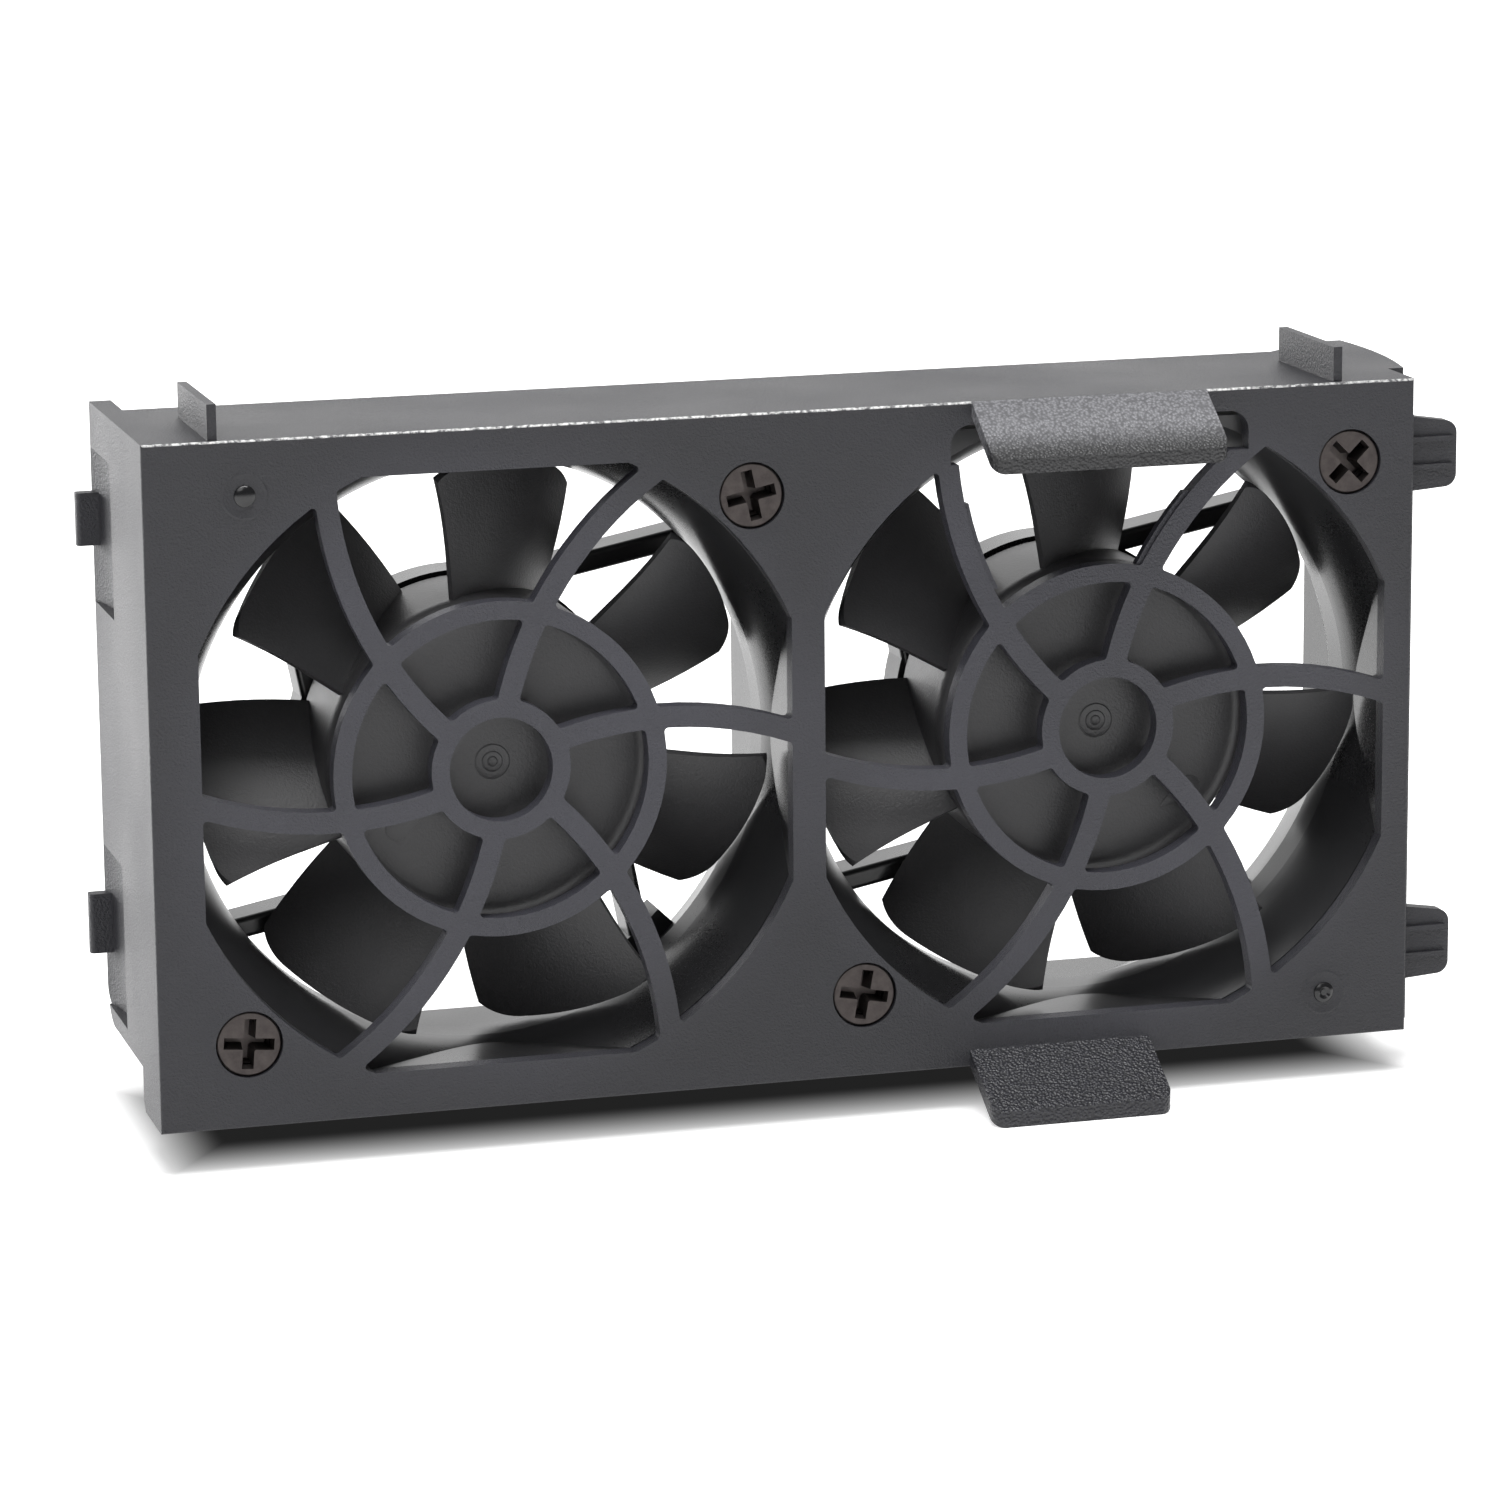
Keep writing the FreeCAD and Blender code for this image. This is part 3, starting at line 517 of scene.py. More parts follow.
@dataclass(frozen=True)
class PaintedEdgeHighlight:
    """Painted highlight along an edge: a lighter tone with small bright glints, painted on the
    same dark plastic.
    """

    name: str
    colour: Colour = rgb(0.10, 0.10, 0.105)
    glint: Colour = rgb(0.75, 0.75, 0.74)
    glint_size: float = 0.45 * MM
    glint_contrast: float = 0.6
    glint_range: Span = (0.40, 0.62)
    roughness: Span = (0.40, 0.20)

    def material(self) -> bpy.types.Material:
        """Build the node material."""
        nodes = Nodes(self.name)
        specks = nodes.noise(1.0 / self.glint_size, roughness=self.glint_contrast)
        share = nodes.spread(specks, *self.glint_range, 0.0, 1.0)
        nodes.feed(Base_Color=nodes.mix(share, self.colour, self.glint),
                   Roughness=nodes.spread(specks, *MIDDLE, *self.roughness))
        return nodes.material


@dataclass(frozen=True)
class BlackenedSteel:
    """Black-oxide steel: brown-grey film, brushed faintly and worn lighter in patches."""

    name: str
    colour: Colour = rgb(0.040, 0.034, 0.033)
    wear_and_glow: Colour = rgb(0.085, 0.074, 0.070)
    rubbed_range: Span = (0.35, 0.75)
    roughness: Span = (0.28, 0.52)
    metallic: float = 0.85
    patch_scale: float = 900.0
    patch_detail: float = 4.0
    patch_contrast: float = 0.65
    scratch_scale: float = 9000.0
    scratch_depth: float = 0.01 * MM
    scratch_strength: float = 0.3

    def material(self) -> bpy.types.Material:
        """Build the node material."""
        nodes = Nodes(self.name)
        patches = nodes.noise(self.patch_scale, self.patch_detail, self.patch_contrast)
        scratches = nodes.noise(self.scratch_scale)
        share = nodes.spread(patches, *self.rubbed_range, 0.0, 1.0)
        nodes.feed(Base_Color=nodes.mix(share, self.colour, self.wear_and_glow),
                   Roughness=nodes.spread(patches, *MIDDLE, *self.roughness),
                   Normal=nodes.bump(scratches, self.scratch_depth, self.scratch_strength))
        nodes.set(Metallic=self.metallic)
        return nodes.material


@dataclass(frozen=True)
class TurnedMetal:
    """Turned or rolled metal with fine lines and a slight tarnish."""

    name: str
    colour: Colour = rgb(0.56, 0.56, 0.57)
    roughness: Span = (0.22, 0.40)
    tarnish_share: float = 0.7
    tarnish_scale: float = 350.0
    tarnish_detail: float = 4.0
    tarnish_contrast: float = 0.6
    line_scale: float = 7000.0
    line_depth: float = 0.01 * MM
    line_strength: float = 0.25

    def material(self) -> bpy.types.Material:
        """Build the node material."""
        nodes = Nodes(self.name)
        tarnish = nodes.noise(self.tarnish_scale, self.tarnish_detail, self.tarnish_contrast)
        lines = nodes.noise(self.line_scale)
        dark = shade(self.colour, self.tarnish_share)
        nodes.feed(Base_Color=nodes.mix(tarnish, dark, self.colour),
                   Roughness=nodes.spread(tarnish, *MIDDLE, *self.roughness),
                   Normal=nodes.bump(lines, self.line_depth, self.line_strength))
        nodes.set(Metallic=1.0)
        return nodes.material


@dataclass(frozen=True)
class WoundWire:
    """Enamelled wire laid in even turns."""

    name: str
    colour: Colour = rgb(0.55, 0.22, 0.09)
    groove_shade_share: float = 0.45
    wire_size: float = 0.16 * MM
    waver: float = 0.4
    groove_strength: float = 0.7
    roughness: Span = (0.5, 0.3)
    metallic: float = 0.6

    def material(self) -> bpy.types.Material:
        """Build the node material."""
        nodes = Nodes(self.name)
        wave = nodes.add("ShaderNodeTexWave", Scale=0.5 / self.wire_size, Distortion=self.waver)
        wave.bands_direction = "DIAGONAL"
        nodes.link(nodes.position, wave.inputs["Vector"])
        turns = wave.outputs["Fac"]
        # Painted shade: the wire is darker in the grooves between turns.
        nodes.feed(Base_Color=nodes.mix(turns, shade(self.colour, self.groove_shade_share), self.colour),
                   Roughness=nodes.spread(turns, 0.0, 1.0, *self.roughness),
                   Normal=nodes.bump(turns, self.wire_size / 3, self.groove_strength))
        nodes.set(Metallic=self.metallic)
        return nodes.material


# ---------------------------------------------------------------- the module's parts

class Side(Enum):
    """Which of the two fans."""

    LEFT = "left"
    RIGHT = "right"


@dataclass
class Layout:
    """Places that the other classes share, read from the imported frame."""

    frame: dict
    hole_spacing: float = field(init=False)
    plate_front: float = field(init=False, default=0.0)

    def __post_init__(self) -> None:
        """Read the spacing of the fan screws from the record's mounts."""
        self.hole_spacing = self.mount(Side.LEFT)["dims"]["spacing_x_mm"] * MM

    def mount(self, side: Side) -> dict:
        """Give the record's rear hole pattern of one fan."""
        name = f"{side.value}_fan_rear_holes"
        return next(mount for mount in self.frame["record"]["mounts"] if mount["name"] == name)

    def axis(self, side: Side) -> Vector:
        """Give the point where one fan's axis meets the plate's front face."""
        place = self.mount(side)["pos_m"]
        return Vector((place[0], self.plate_front, place[2]))

    def node(self, name: str) -> bpy.types.Object:
        """Give a CAD node's object."""
        return self.frame["nodes"][name]


@dataclass
class GateMark:
    """Small round mark that an injection gate leaves: a low ring about a dome or a dimple."""

    radius: float = 2.3 * MM
    rim: float = 0.22 * MM
    rise: float = 0.07 * MM
    dome_radius: float = 1.05 * MM
    dome_rise: float = 0.42 * MM
    dome_turns: int = 5
    dome_share: float = 0.98
    dimpled: bool = False
    dimple_width: float = 0.315 * MM
    dimple_depth: float = 0.21 * MM
    sink: float = 0.3 * MM
    stand_out: float = 0.014 * MM
    sharp_angle: float = 30.0

    def model(self, name: str, place: Vector) -> bpy.types.Object:
        """Model the mark on a face that looks to the front.

        Args:
            name: The piece's name.
            place: The mark's middle, on the face.

        Returns:
            The finished piece.
        """
        front = place - Vector((0, self.stand_out, 0))
        piece = settle(disc(self.radius, self.sink, front), name)
        step_front(piece, self.steps())
        recalculate(piece)
        smooth(piece, self.sharp_angle)
        flatten_shading(piece)
        return piece

    def steps(self) -> list[Step]:
        """Give the steps that shape the mark from its rim inwards."""
        dish = self.radius - 2 * self.rim - self.dome_radius
        steps = [(self.rim, -self.rise), (self.rim, self.rise), (dish, 0.0)]
        angles = [math.radians(90 * turn / self.dome_turns) for turn in range(self.dome_turns + 1)]
        for start, end in zip(angles, angles[1:]):
            inset = self.dome_radius * (math.cos(start) - math.cos(end)) * self.dome_share
            steps.append((inset, -self.dome_rise * (math.sin(end) - math.sin(start))))
        if self.dimpled:
            steps[-2:] = [(self.dimple_width, self.dimple_depth)]
        return steps


class Surface(IntEnum):
    """Which finish a face of the bracket has, as its place in the material list."""

    MOULDED = 0
    UPPER_GRIP = 1
    LOWER_GRIP = 2
    TOP_EDGE = 3


@dataclass
class Bracket:
    """The moulded bracket with softened edges, a pebbled finish on its grips and gate marks."""

    layout: Layout
    # The factor 2.5 paints the plate lighter about both fan axes: a painted pool of light.
    plastic: MouldedPlastic = MouldedPlastic("bracket_plastic", wear_and_glow=2.5)
    # The upper grip's colour is painted far lighter than the plastic's own, a painted sheen for
    # the light on its upward face; its rim is painted dark as shade.
    upper_grip: PebbledPlastic = PebbledPlastic("upper_grip_plastic", lip_shade_share=0.12,
                                                colour=rgb(0.15, 0.15, 0.16))
    lower_grip: PebbledPlastic = PebbledPlastic("lower_grip_plastic",
                                                colour=rgb(0.017, 0.017, 0.021))
    # The top front edge gets a painted highlight: a lighter colour with painted glints.
    top_edge: PaintedEdgeHighlight = PaintedEdgeHighlight("painted_edge_highlight")
    gate_plastic: MouldedPlastic = MouldedPlastic("gate_plastic", colour=rgb(0.008, 0.008, 0.009),
                                                  roughness=0.24, grain_strength=0.02)
    edge_width: float = 0.2 * MM
    edge_angle: float = 40.0
    edge_slant: float = 0.2
    edge_height: float = 65.6 * MM
    sharp_angle: float = 50.0
    grip_line: float = -0.25 * MM
    grip_split: float = 30 * MM
    domed_mark: Spot = (-24.04 * MM, 27.65 * MM)
    dimpled_mark: Spot = (22.91 * MM, -28.51 * MM)

    def build(self) -> list[bpy.types.Object]:
        """Model and dress the bracket's pieces."""
        axes = tuple(self.layout.axis(side) for side in Side)
        plastic = replace(self.plastic, glow_axes=axes).material()
        body = self.body(plastic)
        marks = [self.mark("gate_mark_domed", Side.LEFT, self.domed_mark, False, plastic),
                 self.mark("gate_mark_dimpled", Side.RIGHT, self.dimpled_mark, True, plastic)]
        return [body] + marks

    def body(self, plastic: bpy.types.Material) -> bpy.types.Object:
        """Round the edges of the moulding and give each face its finish."""
        body = welded_copy(self.layout.node("bracket"), "bracket_moulding")
        apply_modifier(body, "BEVEL", width=self.edge_width, segments=2, limit_method="ANGLE",
                       angle_limit=math.radians(self.edge_angle), use_clamp_overlap=True)
        smooth(body, self.sharp_angle)
        flatten_shading(body)
        finishes = {Surface.MOULDED: plastic, Surface.UPPER_GRIP: self.upper_grip.material(),
                    Surface.LOWER_GRIP: self.lower_grip.material(),
                    Surface.TOP_EDGE: self.top_edge.material()}
        body.data.materials.clear()
        for surface in Surface:
            body.data.materials.append(finishes[surface])
        for polygon in body.data.polygons:
            polygon.material_index = self.surface(polygon)
        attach(body, "bracket")
        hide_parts("bracket")
        return body

    def surface(self, polygon: bpy.types.MeshPolygon) -> Surface:
        """Tell which finish a face of the moulding has."""
        middle, normal = polygon.center, polygon.normal
        if middle.y < self.grip_line:
            return Surface.UPPER_GRIP if middle.z > self.grip_split else Surface.LOWER_GRIP
        slants = normal.y < -self.edge_slant and normal.z > self.edge_slant
        if slants and middle.z > self.edge_height and middle.y < self.edge_width:
            return Surface.TOP_EDGE
        return Surface.MOULDED

    def mark(self, name: str, side: Side, offset: Spot, dimpled: bool,
             plastic: bpy.types.Material) -> bpy.types.Object:
        """Model one gate mark, its dome or dimple smoother than the moulding.

        Args:
            name: The piece's name.
            side: The fan from whose axis the offset is taken.
            offset: The mark's place from that axis.
            dimpled: Whether its middle sinks in instead of standing out.
            plastic: The bracket's own finish.

        Returns:
            The finished piece.
        """
        place = self.layout.axis(side) + Vector((offset[0], 0, offset[1]))
        shape = GateMark(dimpled=dimpled)
        piece = shape.model(name, place)
        piece.data.materials.append(plastic)
        piece.data.materials.append(self.gate_plastic.material())
        for polygon in piece.data.polygons:
            inside = Vector((polygon.center.x - place.x, polygon.center.z - place.z)).length
            polygon.material_index = int(inside < shape.dome_radius)
        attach(piece, "bracket")
        return piece


@dataclass
class FanScrews:
    """The four screws: flat heads with a cross recess and a threaded shank.

    The cross starts slot_lead in front of the head, so that it cuts the face cleanly.
    """

    layout: Layout
    head_radius: float = 3.1 * MM
    head_depth: float = 0.8 * MM
    head_sides: int = 72
    rim_width: float = 0.12 * MM
    rim_rise: float = 0.072 * MM
    sharp_angle: float = 30.0
    shank_radius: float = 2.35 * MM
    root_radius: float = 1.9 * MM
    pitch: float = 1.0 * MM
    length: float = 7.0 * MM
    slot_span: float = 4.7 * MM
    slot_width: float = 1.12 * MM
    slot_depth: float = 2.2 * MM
    slot_taper: float = 0.6
    slot_lead: float = 0.55 * MM
    throat: float = 1.7 * MM
    finish: BlackenedSteel = BlackenedSteel("black_screw_steel")

    def build(self) -> bpy.types.Object:
        """Model one screw, copy it to its four places and join the copies."""
        low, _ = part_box("fan_screws")
        half = self.layout.hole_spacing / 2
        master = self.master()
        copies = []
        for side, corner, angle in self.places():
            middle = self.layout.axis(side) + Vector((corner * half, low.y, corner * half))
            copy = master.copy()
            copy.data = master.data.copy()
            bpy.context.scene.collection.objects.link(copy)
            turn = Matrix.Rotation(-math.radians(angle), 4, "Y")
            copy.matrix_world = Matrix.Translation(middle) @ turn
            copies.append(copy)
        bpy.data.objects.remove(master)
        deselect()
        for copy in copies:
            copy.select_set(True)
        bpy.context.view_layer.objects.active = copies[0]
        bpy.ops.object.join()
        screws = settle(bpy.context.object, "fan_screws_cross_recess")
        smooth(screws, self.sharp_angle)
        screws.data.materials.clear()
        screws.data.materials.append(self.finish.material())
        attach(screws, "bracket")
        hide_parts("fan_screws")
        return screws

    def places(self) -> list[tuple[Side, int, float]]:
        """Give each screw's fan, its corner (1 upper right, -1 lower left) and its turn."""
        return [(Side.LEFT, 1, 12.0), (Side.LEFT, -1, -5.0),
                (Side.RIGHT, 1, 45.0), (Side.RIGHT, -1, -10.0)]

    def master(self) -> bpy.types.Object:
        """Model one screw about the Y axis, its head's face at Y = 0."""
        head = disc(self.head_radius, self.head_depth, Vector((0, 0, 0)), self.head_sides)
        screw = settle(head, "screw")
        step_front(screw, [(self.rim_width, -self.rim_rise)])
        screw.data.transform(Matrix.Translation((0, self.rim_rise, 0)))
        self.draw_shank(screw)
        recalculate(screw)
        cutter = self.cross()
        apply_modifier(screw, "BOOLEAN", object=cutter, operation="DIFFERENCE", solver="EXACT")
        bpy.data.objects.remove(cutter)
        return screw

    def draw_shank(self, screw: bpy.types.Object) -> None:
        """Extrude the shank from the back of the head, with a groove for each turn of thread."""
        back = max(vertex.co.y for vertex in screw.data.vertices)
        edit_faces(screw, lambda polygon: abs(polygon.center.y - back) < TOUCH)
        bpy.ops.mesh.inset(thickness=self.head_radius - self.root_radius)
        radius = self.root_radius
        depth = back
        while depth + self.pitch < self.length:
            for target in (self.shank_radius, self.root_radius):
                bpy.ops.mesh.extrude_region_move(
                    TRANSFORM_OT_translate={"value": (0, self.pitch / 2, 0)})
                share = target / radius
                bpy.ops.transform.resize(value=(share, 1, share), center_override=(0, 0, 0))
                radius = target
            depth += self.pitch
        bpy.ops.object.mode_set(mode="OBJECT")

    def cross(self) -> bpy.types.Object:
        """Model the tapered cross that is cut from the head: two bars and a square throat."""
        bars = [self.tapered_bar(self.slot_span, self.slot_width, 0),
                self.tapered_bar(self.slot_span, self.slot_width, 90),
                self.tapered_bar(self.throat, self.throat, 45)]
        for bar in bars[1:]:
            apply_modifier(bars[0], "BOOLEAN", object=bar, operation="UNION", solver="EXACT")
            bpy.data.objects.remove(bar)
        return bars[0]

    def tapered_bar(self, span: float, width: float, angle: int) -> bpy.types.Object:
        """Model a bar that narrows towards its back end, half as much along as across.

        Args:
            span: Its length across the head.
            width: Its width across the head.
            angle: Its turn about the Y axis, in degrees.

        Returns:
            The bar, from in front of the head to the bottom of the recess.
        """
        deselect()
        bpy.ops.mesh.primitive_cube_add(size=1.0)
        bar = bpy.context.object
        lead_share = 1.0 + (1.0 - self.slot_taper) * self.slot_lead / self.slot_depth
        for vertex in bar.data.vertices:
            if vertex.co.y > 0:
                vertex.co.x *= span * (1.0 + self.slot_taper) / 2
                vertex.co.z *= width * self.slot_taper
                vertex.co.y = self.slot_depth
            else:
                vertex.co.x *= span * lead_share
                vertex.co.z *= width * lead_share
                vertex.co.y = -self.slot_lead
        bar.rotation_euler = (0, math.radians(angle), 0)
        return settle(bar, f"recess_{angle}")


@dataclass
class HubMarks:
    """Gate ring at the middle of a hub and the low drop-shaped pad beside it."""

    gate_radius: float = 1.75 * MM
    gate_steps: tuple[Step, ...] = (
        (0.12 * MM, -0.05 * MM), (0.14 * MM, 0.05 * MM), (0.45 * MM, 0.0),
        (0.08 * MM, -0.05 * MM), (0.10 * MM, 0.05 * MM), (0.32 * MM, 0.0),
        (0.10 * MM, -0.06 * MM), (0.10 * MM, 0.05 * MM))
    drop_length: float = 4.6 * MM
    drop_width: float = 2.3 * MM
    drop_rise: float = 0.06 * MM
    drop_point: float = 0.55
    drop_sides: int = 48
    drop_edge: float = 0.04 * MM
    drop_edge_angle: float = 40.0
    sink: float = 0.2 * MM
    stand_out: float = 0.01 * MM
    sharp_angle: float = 30.0

    def gate(self, name: str, place: Vector) -> bpy.types.Object:
        """Model the rings of the gate on the hub's face."""
        front = place - Vector((0, self.stand_out, 0))
        piece = settle(disc(self.gate_radius, self.sink, front), name)
        step_front(piece, self.gate_steps)
        recalculate(piece)
        smooth(piece, self.sharp_angle)
        return piece

    def drop(self, name: str, place: Vector, angle: float) -> bpy.types.Object:
        """Model the drop-shaped pad.

        Args:
            name: The piece's name.
            place: The middle of its round end, on the hub's face.
            angle: The way its point lies, in degrees.

        Returns:
            The finished piece.
        """
        radius = self.drop_width / 2
        front = Vector((0, -self.drop_rise, 0))
        piece = settle(disc(radius, self.sink, front, self.drop_sides), name)
        for vertex in piece.data.vertices:
            if vertex.co.x > 0:
                vertex.co.z *= 1 - self.drop_point * vertex.co.x / radius
                vertex.co.x *= (self.drop_length - radius) / radius
        apply_modifier(piece, "BEVEL", width=self.drop_edge, segments=2, limit_method="ANGLE",
                       angle_limit=math.radians(self.drop_edge_angle))
        turn = Matrix.Rotation(-math.radians(angle), 4, "Y")
        piece.matrix_world = Matrix.Translation(place) @ turn
        settle(piece, name)
        smooth(piece, self.sharp_angle)
        return piece


@dataclass
class Fan:
    """One fan: finishes for its CAD nodes and the small marks on its hub.

    The pad's place and angle differ between the fans, because each hub rests at its own turn.
    """

    layout: Layout
    side: Side
    finishes: dict[str, bpy.types.Material]
    pad_place: Spot
    pad_angle: float

    def build(self) -> list[bpy.types.Object]:
        """Dress the fan's nodes and model its marks."""
        for node, finish in self.node_finishes().items():
            self.dress(f"{self.side.value}_{node}", self.finishes[finish])
        return self.marks()

    def node_finishes(self) -> dict[str, str]:
        """Name the finish of each node of a fan."""
        return {
            "fan_frame": "frame", "motor_base": "frame", "impeller": "impeller",
            "rotor_yoke": "steel", "ring_magnet": "magnet", "shaft": "steel",
            "shaft_bushing": "brass", "preload_spring": "steel", "retaining_clip": "steel",
            "front_bearing": "steel", "rear_bearing": "steel", "stator_core": "core",
            "coil_insulator": "nylon", "coils": "wire", "circuit_board": "board",
            "bearing_cap": "cap",
        }

    def dress(self, name: str, material: bpy.types.Material) -> None:
        """Put one material on a CAD node."""
        node = self.layout.node(name)
        node.data.materials.clear()
        node.data.materials.append(material)

    def marks(self) -> list[bpy.types.Object]:
        """Model the gate rings and the pad on the hub's face."""
        low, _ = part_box(f"{self.side.value}_impeller")
        middle = self.layout.axis(self.side) + Vector((0, low.y, 0))
        marks = HubMarks()
        place = middle + Vector((self.pad_place[0], 0, self.pad_place[1]))
        pieces = [marks.gate(f"{self.side.value}_hub_gate", middle),
                  marks.drop(f"{self.side.value}_hub_pad", place, self.pad_angle)]
        for piece in pieces:
            piece.data.materials.append(self.finishes["impeller"])
            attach(piece, f"{self.side.value}_rotor")
        return pieces


# ---------------------------------------------------------------- studio and camera

@dataclass(frozen=True)
class Lamp:
    """Soft rectangular lamp that points at the module; its power is in watts."""

    name: str
    place: Place
    width: float
    height: float
    power: float
    aim: Place = (0.0, 0.01, 0.03)

    def build(self) -> None:
        """Add the lamp to the scene."""
        data = bpy.data.lights.new(self.name, "AREA")
        data.shape = "RECTANGLE"
        data.size = self.width
        data.size_y = self.height
        data.energy = self.power
        lamp = bpy.data.objects.new(self.name, data)
        bpy.context.scene.collection.objects.link(lamp)
        lamp.location = self.place
        look = Vector(self.aim) - Vector(self.place)
        lamp.rotation_euler = look.to_track_quat("-Z", "Y").to_euler()


@dataclass
class Studio:
    """White floor, surroundings that differ by direction, and soft lamps.

    The floor's glow grows from lift_near to lift_far over lift_reach, measured from the middle.
    Its painted shadow is a rectangle about shade_middle with soft sides: each pair holds the half
    width of the full shade and of its outer edge.
    """

    floor_level: float
    floor_size: float = 8.0
    floor_colour: Colour = rgb(0.8, 0.8, 0.8)
    lift_near: float = 0.62
    lift_far: float = 1.0
    lift_reach: Span = (0.06, 0.10)
    shade_middle: float = 16.5 * MM
    shade_along: Span = (5.3 * MM, 21.3 * MM)
    shade_across: Span = (56 * MM, 67 * MM)
    shade_depth: float = 0.02
    fill_front: float = 0.27
    fill_back: float = 0.08
    fill_reach: Span = (-1.0, 1.0)
    glare_front: float = 0.14
    glare_back: float = 0.85
    glare_reach: Span = (-0.2, 0.8)
    lamps: tuple[Lamp, ...] = (
        Lamp("key", (-0.35, -0.60, 0.70), width=0.6, height=0.5, power=2.2),
        Lamp("overhead", (0.00, -0.24, 0.90), width=0.7, height=0.36, power=9.0),
        Lamp("left_rear", (-0.80, 0.75, 0.22), width=0.6, height=0.3, power=8.5),
        Lamp("backdrop", (0.10, 1.10, 0.50), width=1.6, height=0.5, power=2.5))

    def build(self) -> None:
        """Make the floor, the world and the lamps."""
        self.make_floor()
        self.make_world()
        for lamp in self.lamps:
            lamp.build()

    def make_floor(self) -> None:
        """Make a white floor with a shadow painted right under the module.

        It glows a little for the camera and in reflections, so that it stays white far away.
        """
        deselect()
        bpy.ops.mesh.primitive_plane_add(size=self.floor_size, location=(0, 0, self.floor_level))
        floor = settle(bpy.context.object, "floor")
        nodes = Nodes("floor_paper")
        nodes.tree.nodes.remove(nodes.shader)
        # Painted shadow under the module: a share that scales the floor's colour and glow.
        light = self.painted_contact_shade(nodes)
        paper = nodes.add("ShaderNodeBsdfDiffuse")
        nodes.link(nodes.mix(light, (0.0, 0.0, 0.0), self.floor_colour), paper.inputs["Color"])
        glow = nodes.add("ShaderNodeEmission", Color=(1.0, 1.0, 1.0, 1.0))
        reach = nodes.math("LENGTH", nodes.position)
        lift = nodes.spread(reach, *self.lift_reach, self.lift_near, self.lift_far)
        path = nodes.add("ShaderNodeLightPath")
        seen = nodes.math("ADD", path.outputs["Is Camera Ray"], path.outputs["Is Glossy Ray"])
        strength = nodes.math("MULTIPLY", nodes.math("MULTIPLY", lift, light), seen)
        nodes.link(strength, glow.inputs["Strength"])
        both = nodes.add("ShaderNodeAddShader")
        nodes.link(paper.outputs[0], both.inputs[0])
        nodes.link(glow.outputs[0], both.inputs[1])
        nodes.link(both.outputs[0], nodes.tree.nodes["Material Output"].inputs["Surface"])
        floor.data.materials.append(nodes.material)
        floor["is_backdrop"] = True

    def painted_contact_shade(self, nodes: Nodes) -> bpy.types.NodeSocket:
        """Give the painted shadow as the share of the floor's light: little under the module and
        full away from it.

        Args:
            nodes: The floor's node tree.

        Returns:
            The share, from the shade's depth to 1.
        """
        axes = nodes.split(nodes.position)
        behind = nodes.math("SUBTRACT", axes.outputs["Y"], self.shade_middle)
        along = nodes.soft(nodes.math("ABSOLUTE", behind), *self.shade_along,
                           self.shade_depth, 1.0)
        across = nodes.soft(nodes.math("ABSOLUTE", axes.outputs["X"]), *self.shade_across,
                            self.shade_depth, 1.0)
        return nodes.math("MAXIMUM", along, across)

    def make_world(self) -> None:
        """Make surroundings: white to the camera, and light that differs front and back.

        Matt faces see a fill that is brighter in front, glossy ones a glare that is brighter
        behind.
        """
        world = bpy.data.worlds.new("surroundings")
        bpy.context.scene.world = world
        world.use_nodes = True
        nodes = Tree(world.node_tree)
        background = nodes.tree.nodes["Background"]
        background.inputs["Color"].default_value = (1.0, 1.0, 1.0, 1.0)
        path = nodes.add("ShaderNodeLightPath")
        behind = nodes.split(nodes.add("ShaderNodeTexCoord").outputs["Generated"]).outputs["Y"]
        fill = nodes.soft(behind, *self.fill_reach, self.fill_front, self.fill_back)
        glare = nodes.soft(behind, *self.glare_reach, self.glare_front, self.glare_back)
        light = nodes.choose(path.outputs["Is Glossy Ray"], fill, glare)
        white = nodes.add("ShaderNodeValue")
        white.outputs[0].default_value = 1.0
        strength = nodes.choose(path.outputs["Is Camera Ray"], light, white.outputs[0])
        nodes.link(strength, background.inputs["Strength"])


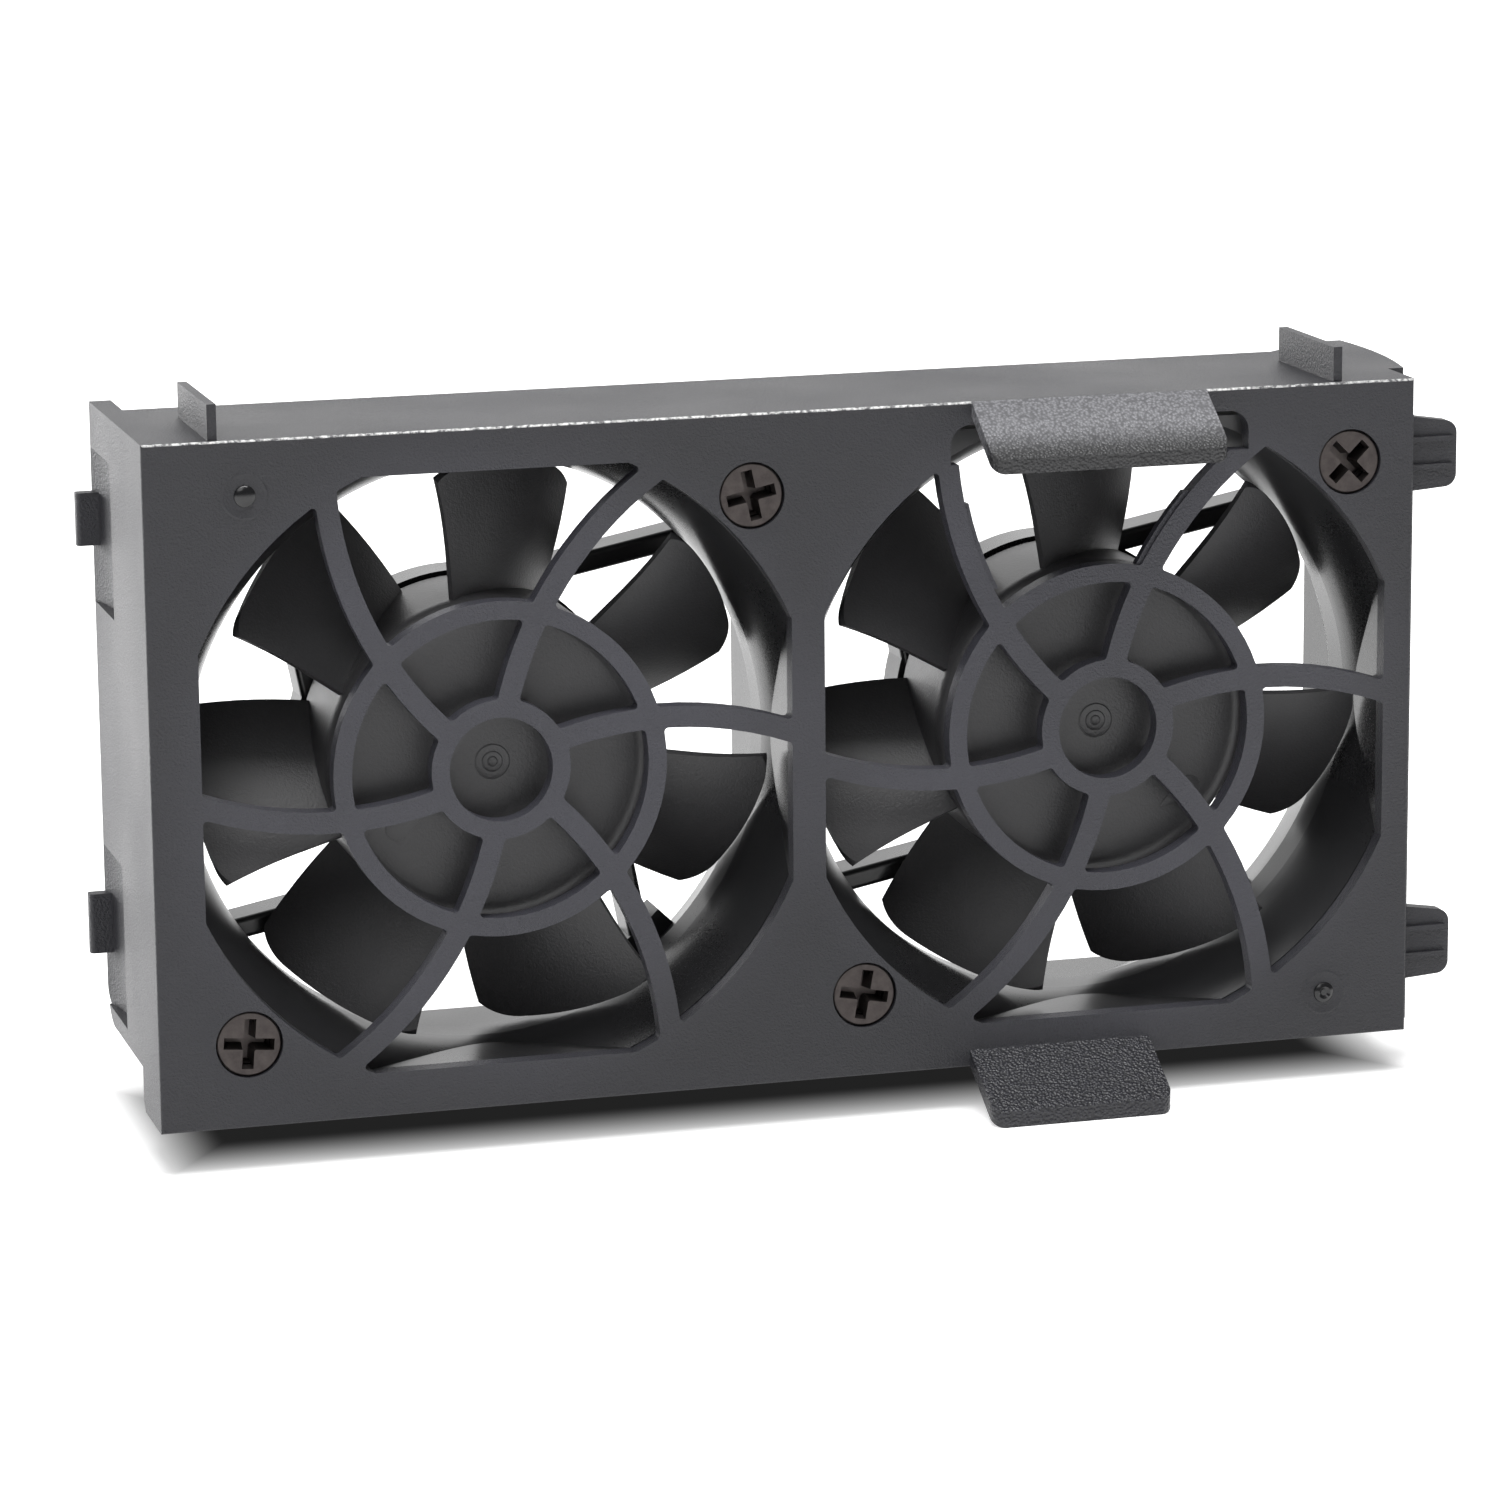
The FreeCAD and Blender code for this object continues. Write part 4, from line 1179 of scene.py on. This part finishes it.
@dataclass
class CameraRig:
    """Camera that looks at a point near the middle of the face.

    Angles are in degrees, the lens and the sensor in millimetres.
    """

    azimuth: float = -15.8
    elevation: float = 12.15
    distance: float = 558.7 * MM
    aim: Place = (-6.03 * MM, 0.0, 33.5 * MM)
    roll: float = -0.52
    lens: float = 139.6
    sensor: float = 36.0
    reach: Span = (0.01, 20.0)

    def build(self) -> None:
        """Make the camera and hand it to the scene."""
        data = bpy.data.cameras.new("camera")
        data.lens = self.lens
        data.sensor_width = self.sensor
        data.clip_start, data.clip_end = self.reach
        camera = bpy.data.objects.new("camera", data)
        bpy.context.scene.collection.objects.link(camera)
        turn = math.radians(self.azimuth)
        rise = math.radians(self.elevation)
        back = Vector((math.sin(turn) * math.cos(rise), -math.cos(turn) * math.cos(rise),
                       math.sin(rise)))
        camera.location = Vector(self.aim) + back * self.distance
        look = (-back).to_track_quat("-Z", "Y").to_matrix().to_4x4()
        roll = Matrix.Rotation(math.radians(self.roll), 4, "Z")
        camera.rotation_euler = (look @ roll).to_euler()
        bpy.context.scene.camera = camera


def fan_finishes() -> dict[str, bpy.types.Material]:
    """Build the materials that both fans share."""
    finishes = {
        "frame": MouldedPlastic("fan_frame_plastic", colour=rgb(0.014, 0.014, 0.015),
                                roughness=0.30, grain_strength=0.04),
        "impeller": MouldedPlastic("impeller_plastic", colour=rgb(0.036, 0.0355, 0.0375),
                                   roughness=0.42, grain_strength=0.3),
        "magnet": MouldedPlastic("magnet_compound", colour=rgb(0.03, 0.029, 0.028), roughness=0.6),
        "nylon": MouldedPlastic("bobbin_nylon", colour=rgb(0.62, 0.60, 0.54), tone_spread=0.06),
        "board": MouldedPlastic("board_resist", colour=rgb(0.02, 0.11, 0.05), roughness=0.35),
        "cap": MouldedPlastic("cap_plastic", colour=rgb(0.018, 0.018, 0.02)),
        "steel": TurnedMetal("plated_steel"),
        "brass": TurnedMetal("bush_brass", colour=rgb(0.62, 0.45, 0.2)),
        "core": TurnedMetal("core_sheet", colour=rgb(0.3, 0.3, 0.32), roughness=(0.37, 0.55)),
        "wire": WoundWire("winding_wire"),
    }
    return {key: finish.material() for key, finish in finishes.items()}


def main() -> None:
    """Build the dressed module, the studio and the camera."""
    logging.basicConfig(level=logging.INFO)
    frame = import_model()
    cad_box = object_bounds()
    layout = Layout(frame)
    bpy.context.scene.view_settings.view_transform = "Standard"
    for piece in Bracket(layout).build():
        LOG.info("made %s", piece.name)
    LOG.info("made %s", FanScrews(layout).build().name)
    finishes = fan_finishes()
    fans = [Fan(layout, Side.LEFT, finishes, pad_place=(-9.4 * MM, -5.95 * MM), pad_angle=30.0),
            Fan(layout, Side.RIGHT, finishes, pad_place=(9.9 * MM, -7.35 * MM), pad_angle=210.0)]
    for fan in fans:
        for piece in fan.build():
            LOG.info("made %s", piece.name)
    Studio(floor_level=cad_box[0].z).build()
    CameraRig().build()


if __name__ == "__main__":
    main()
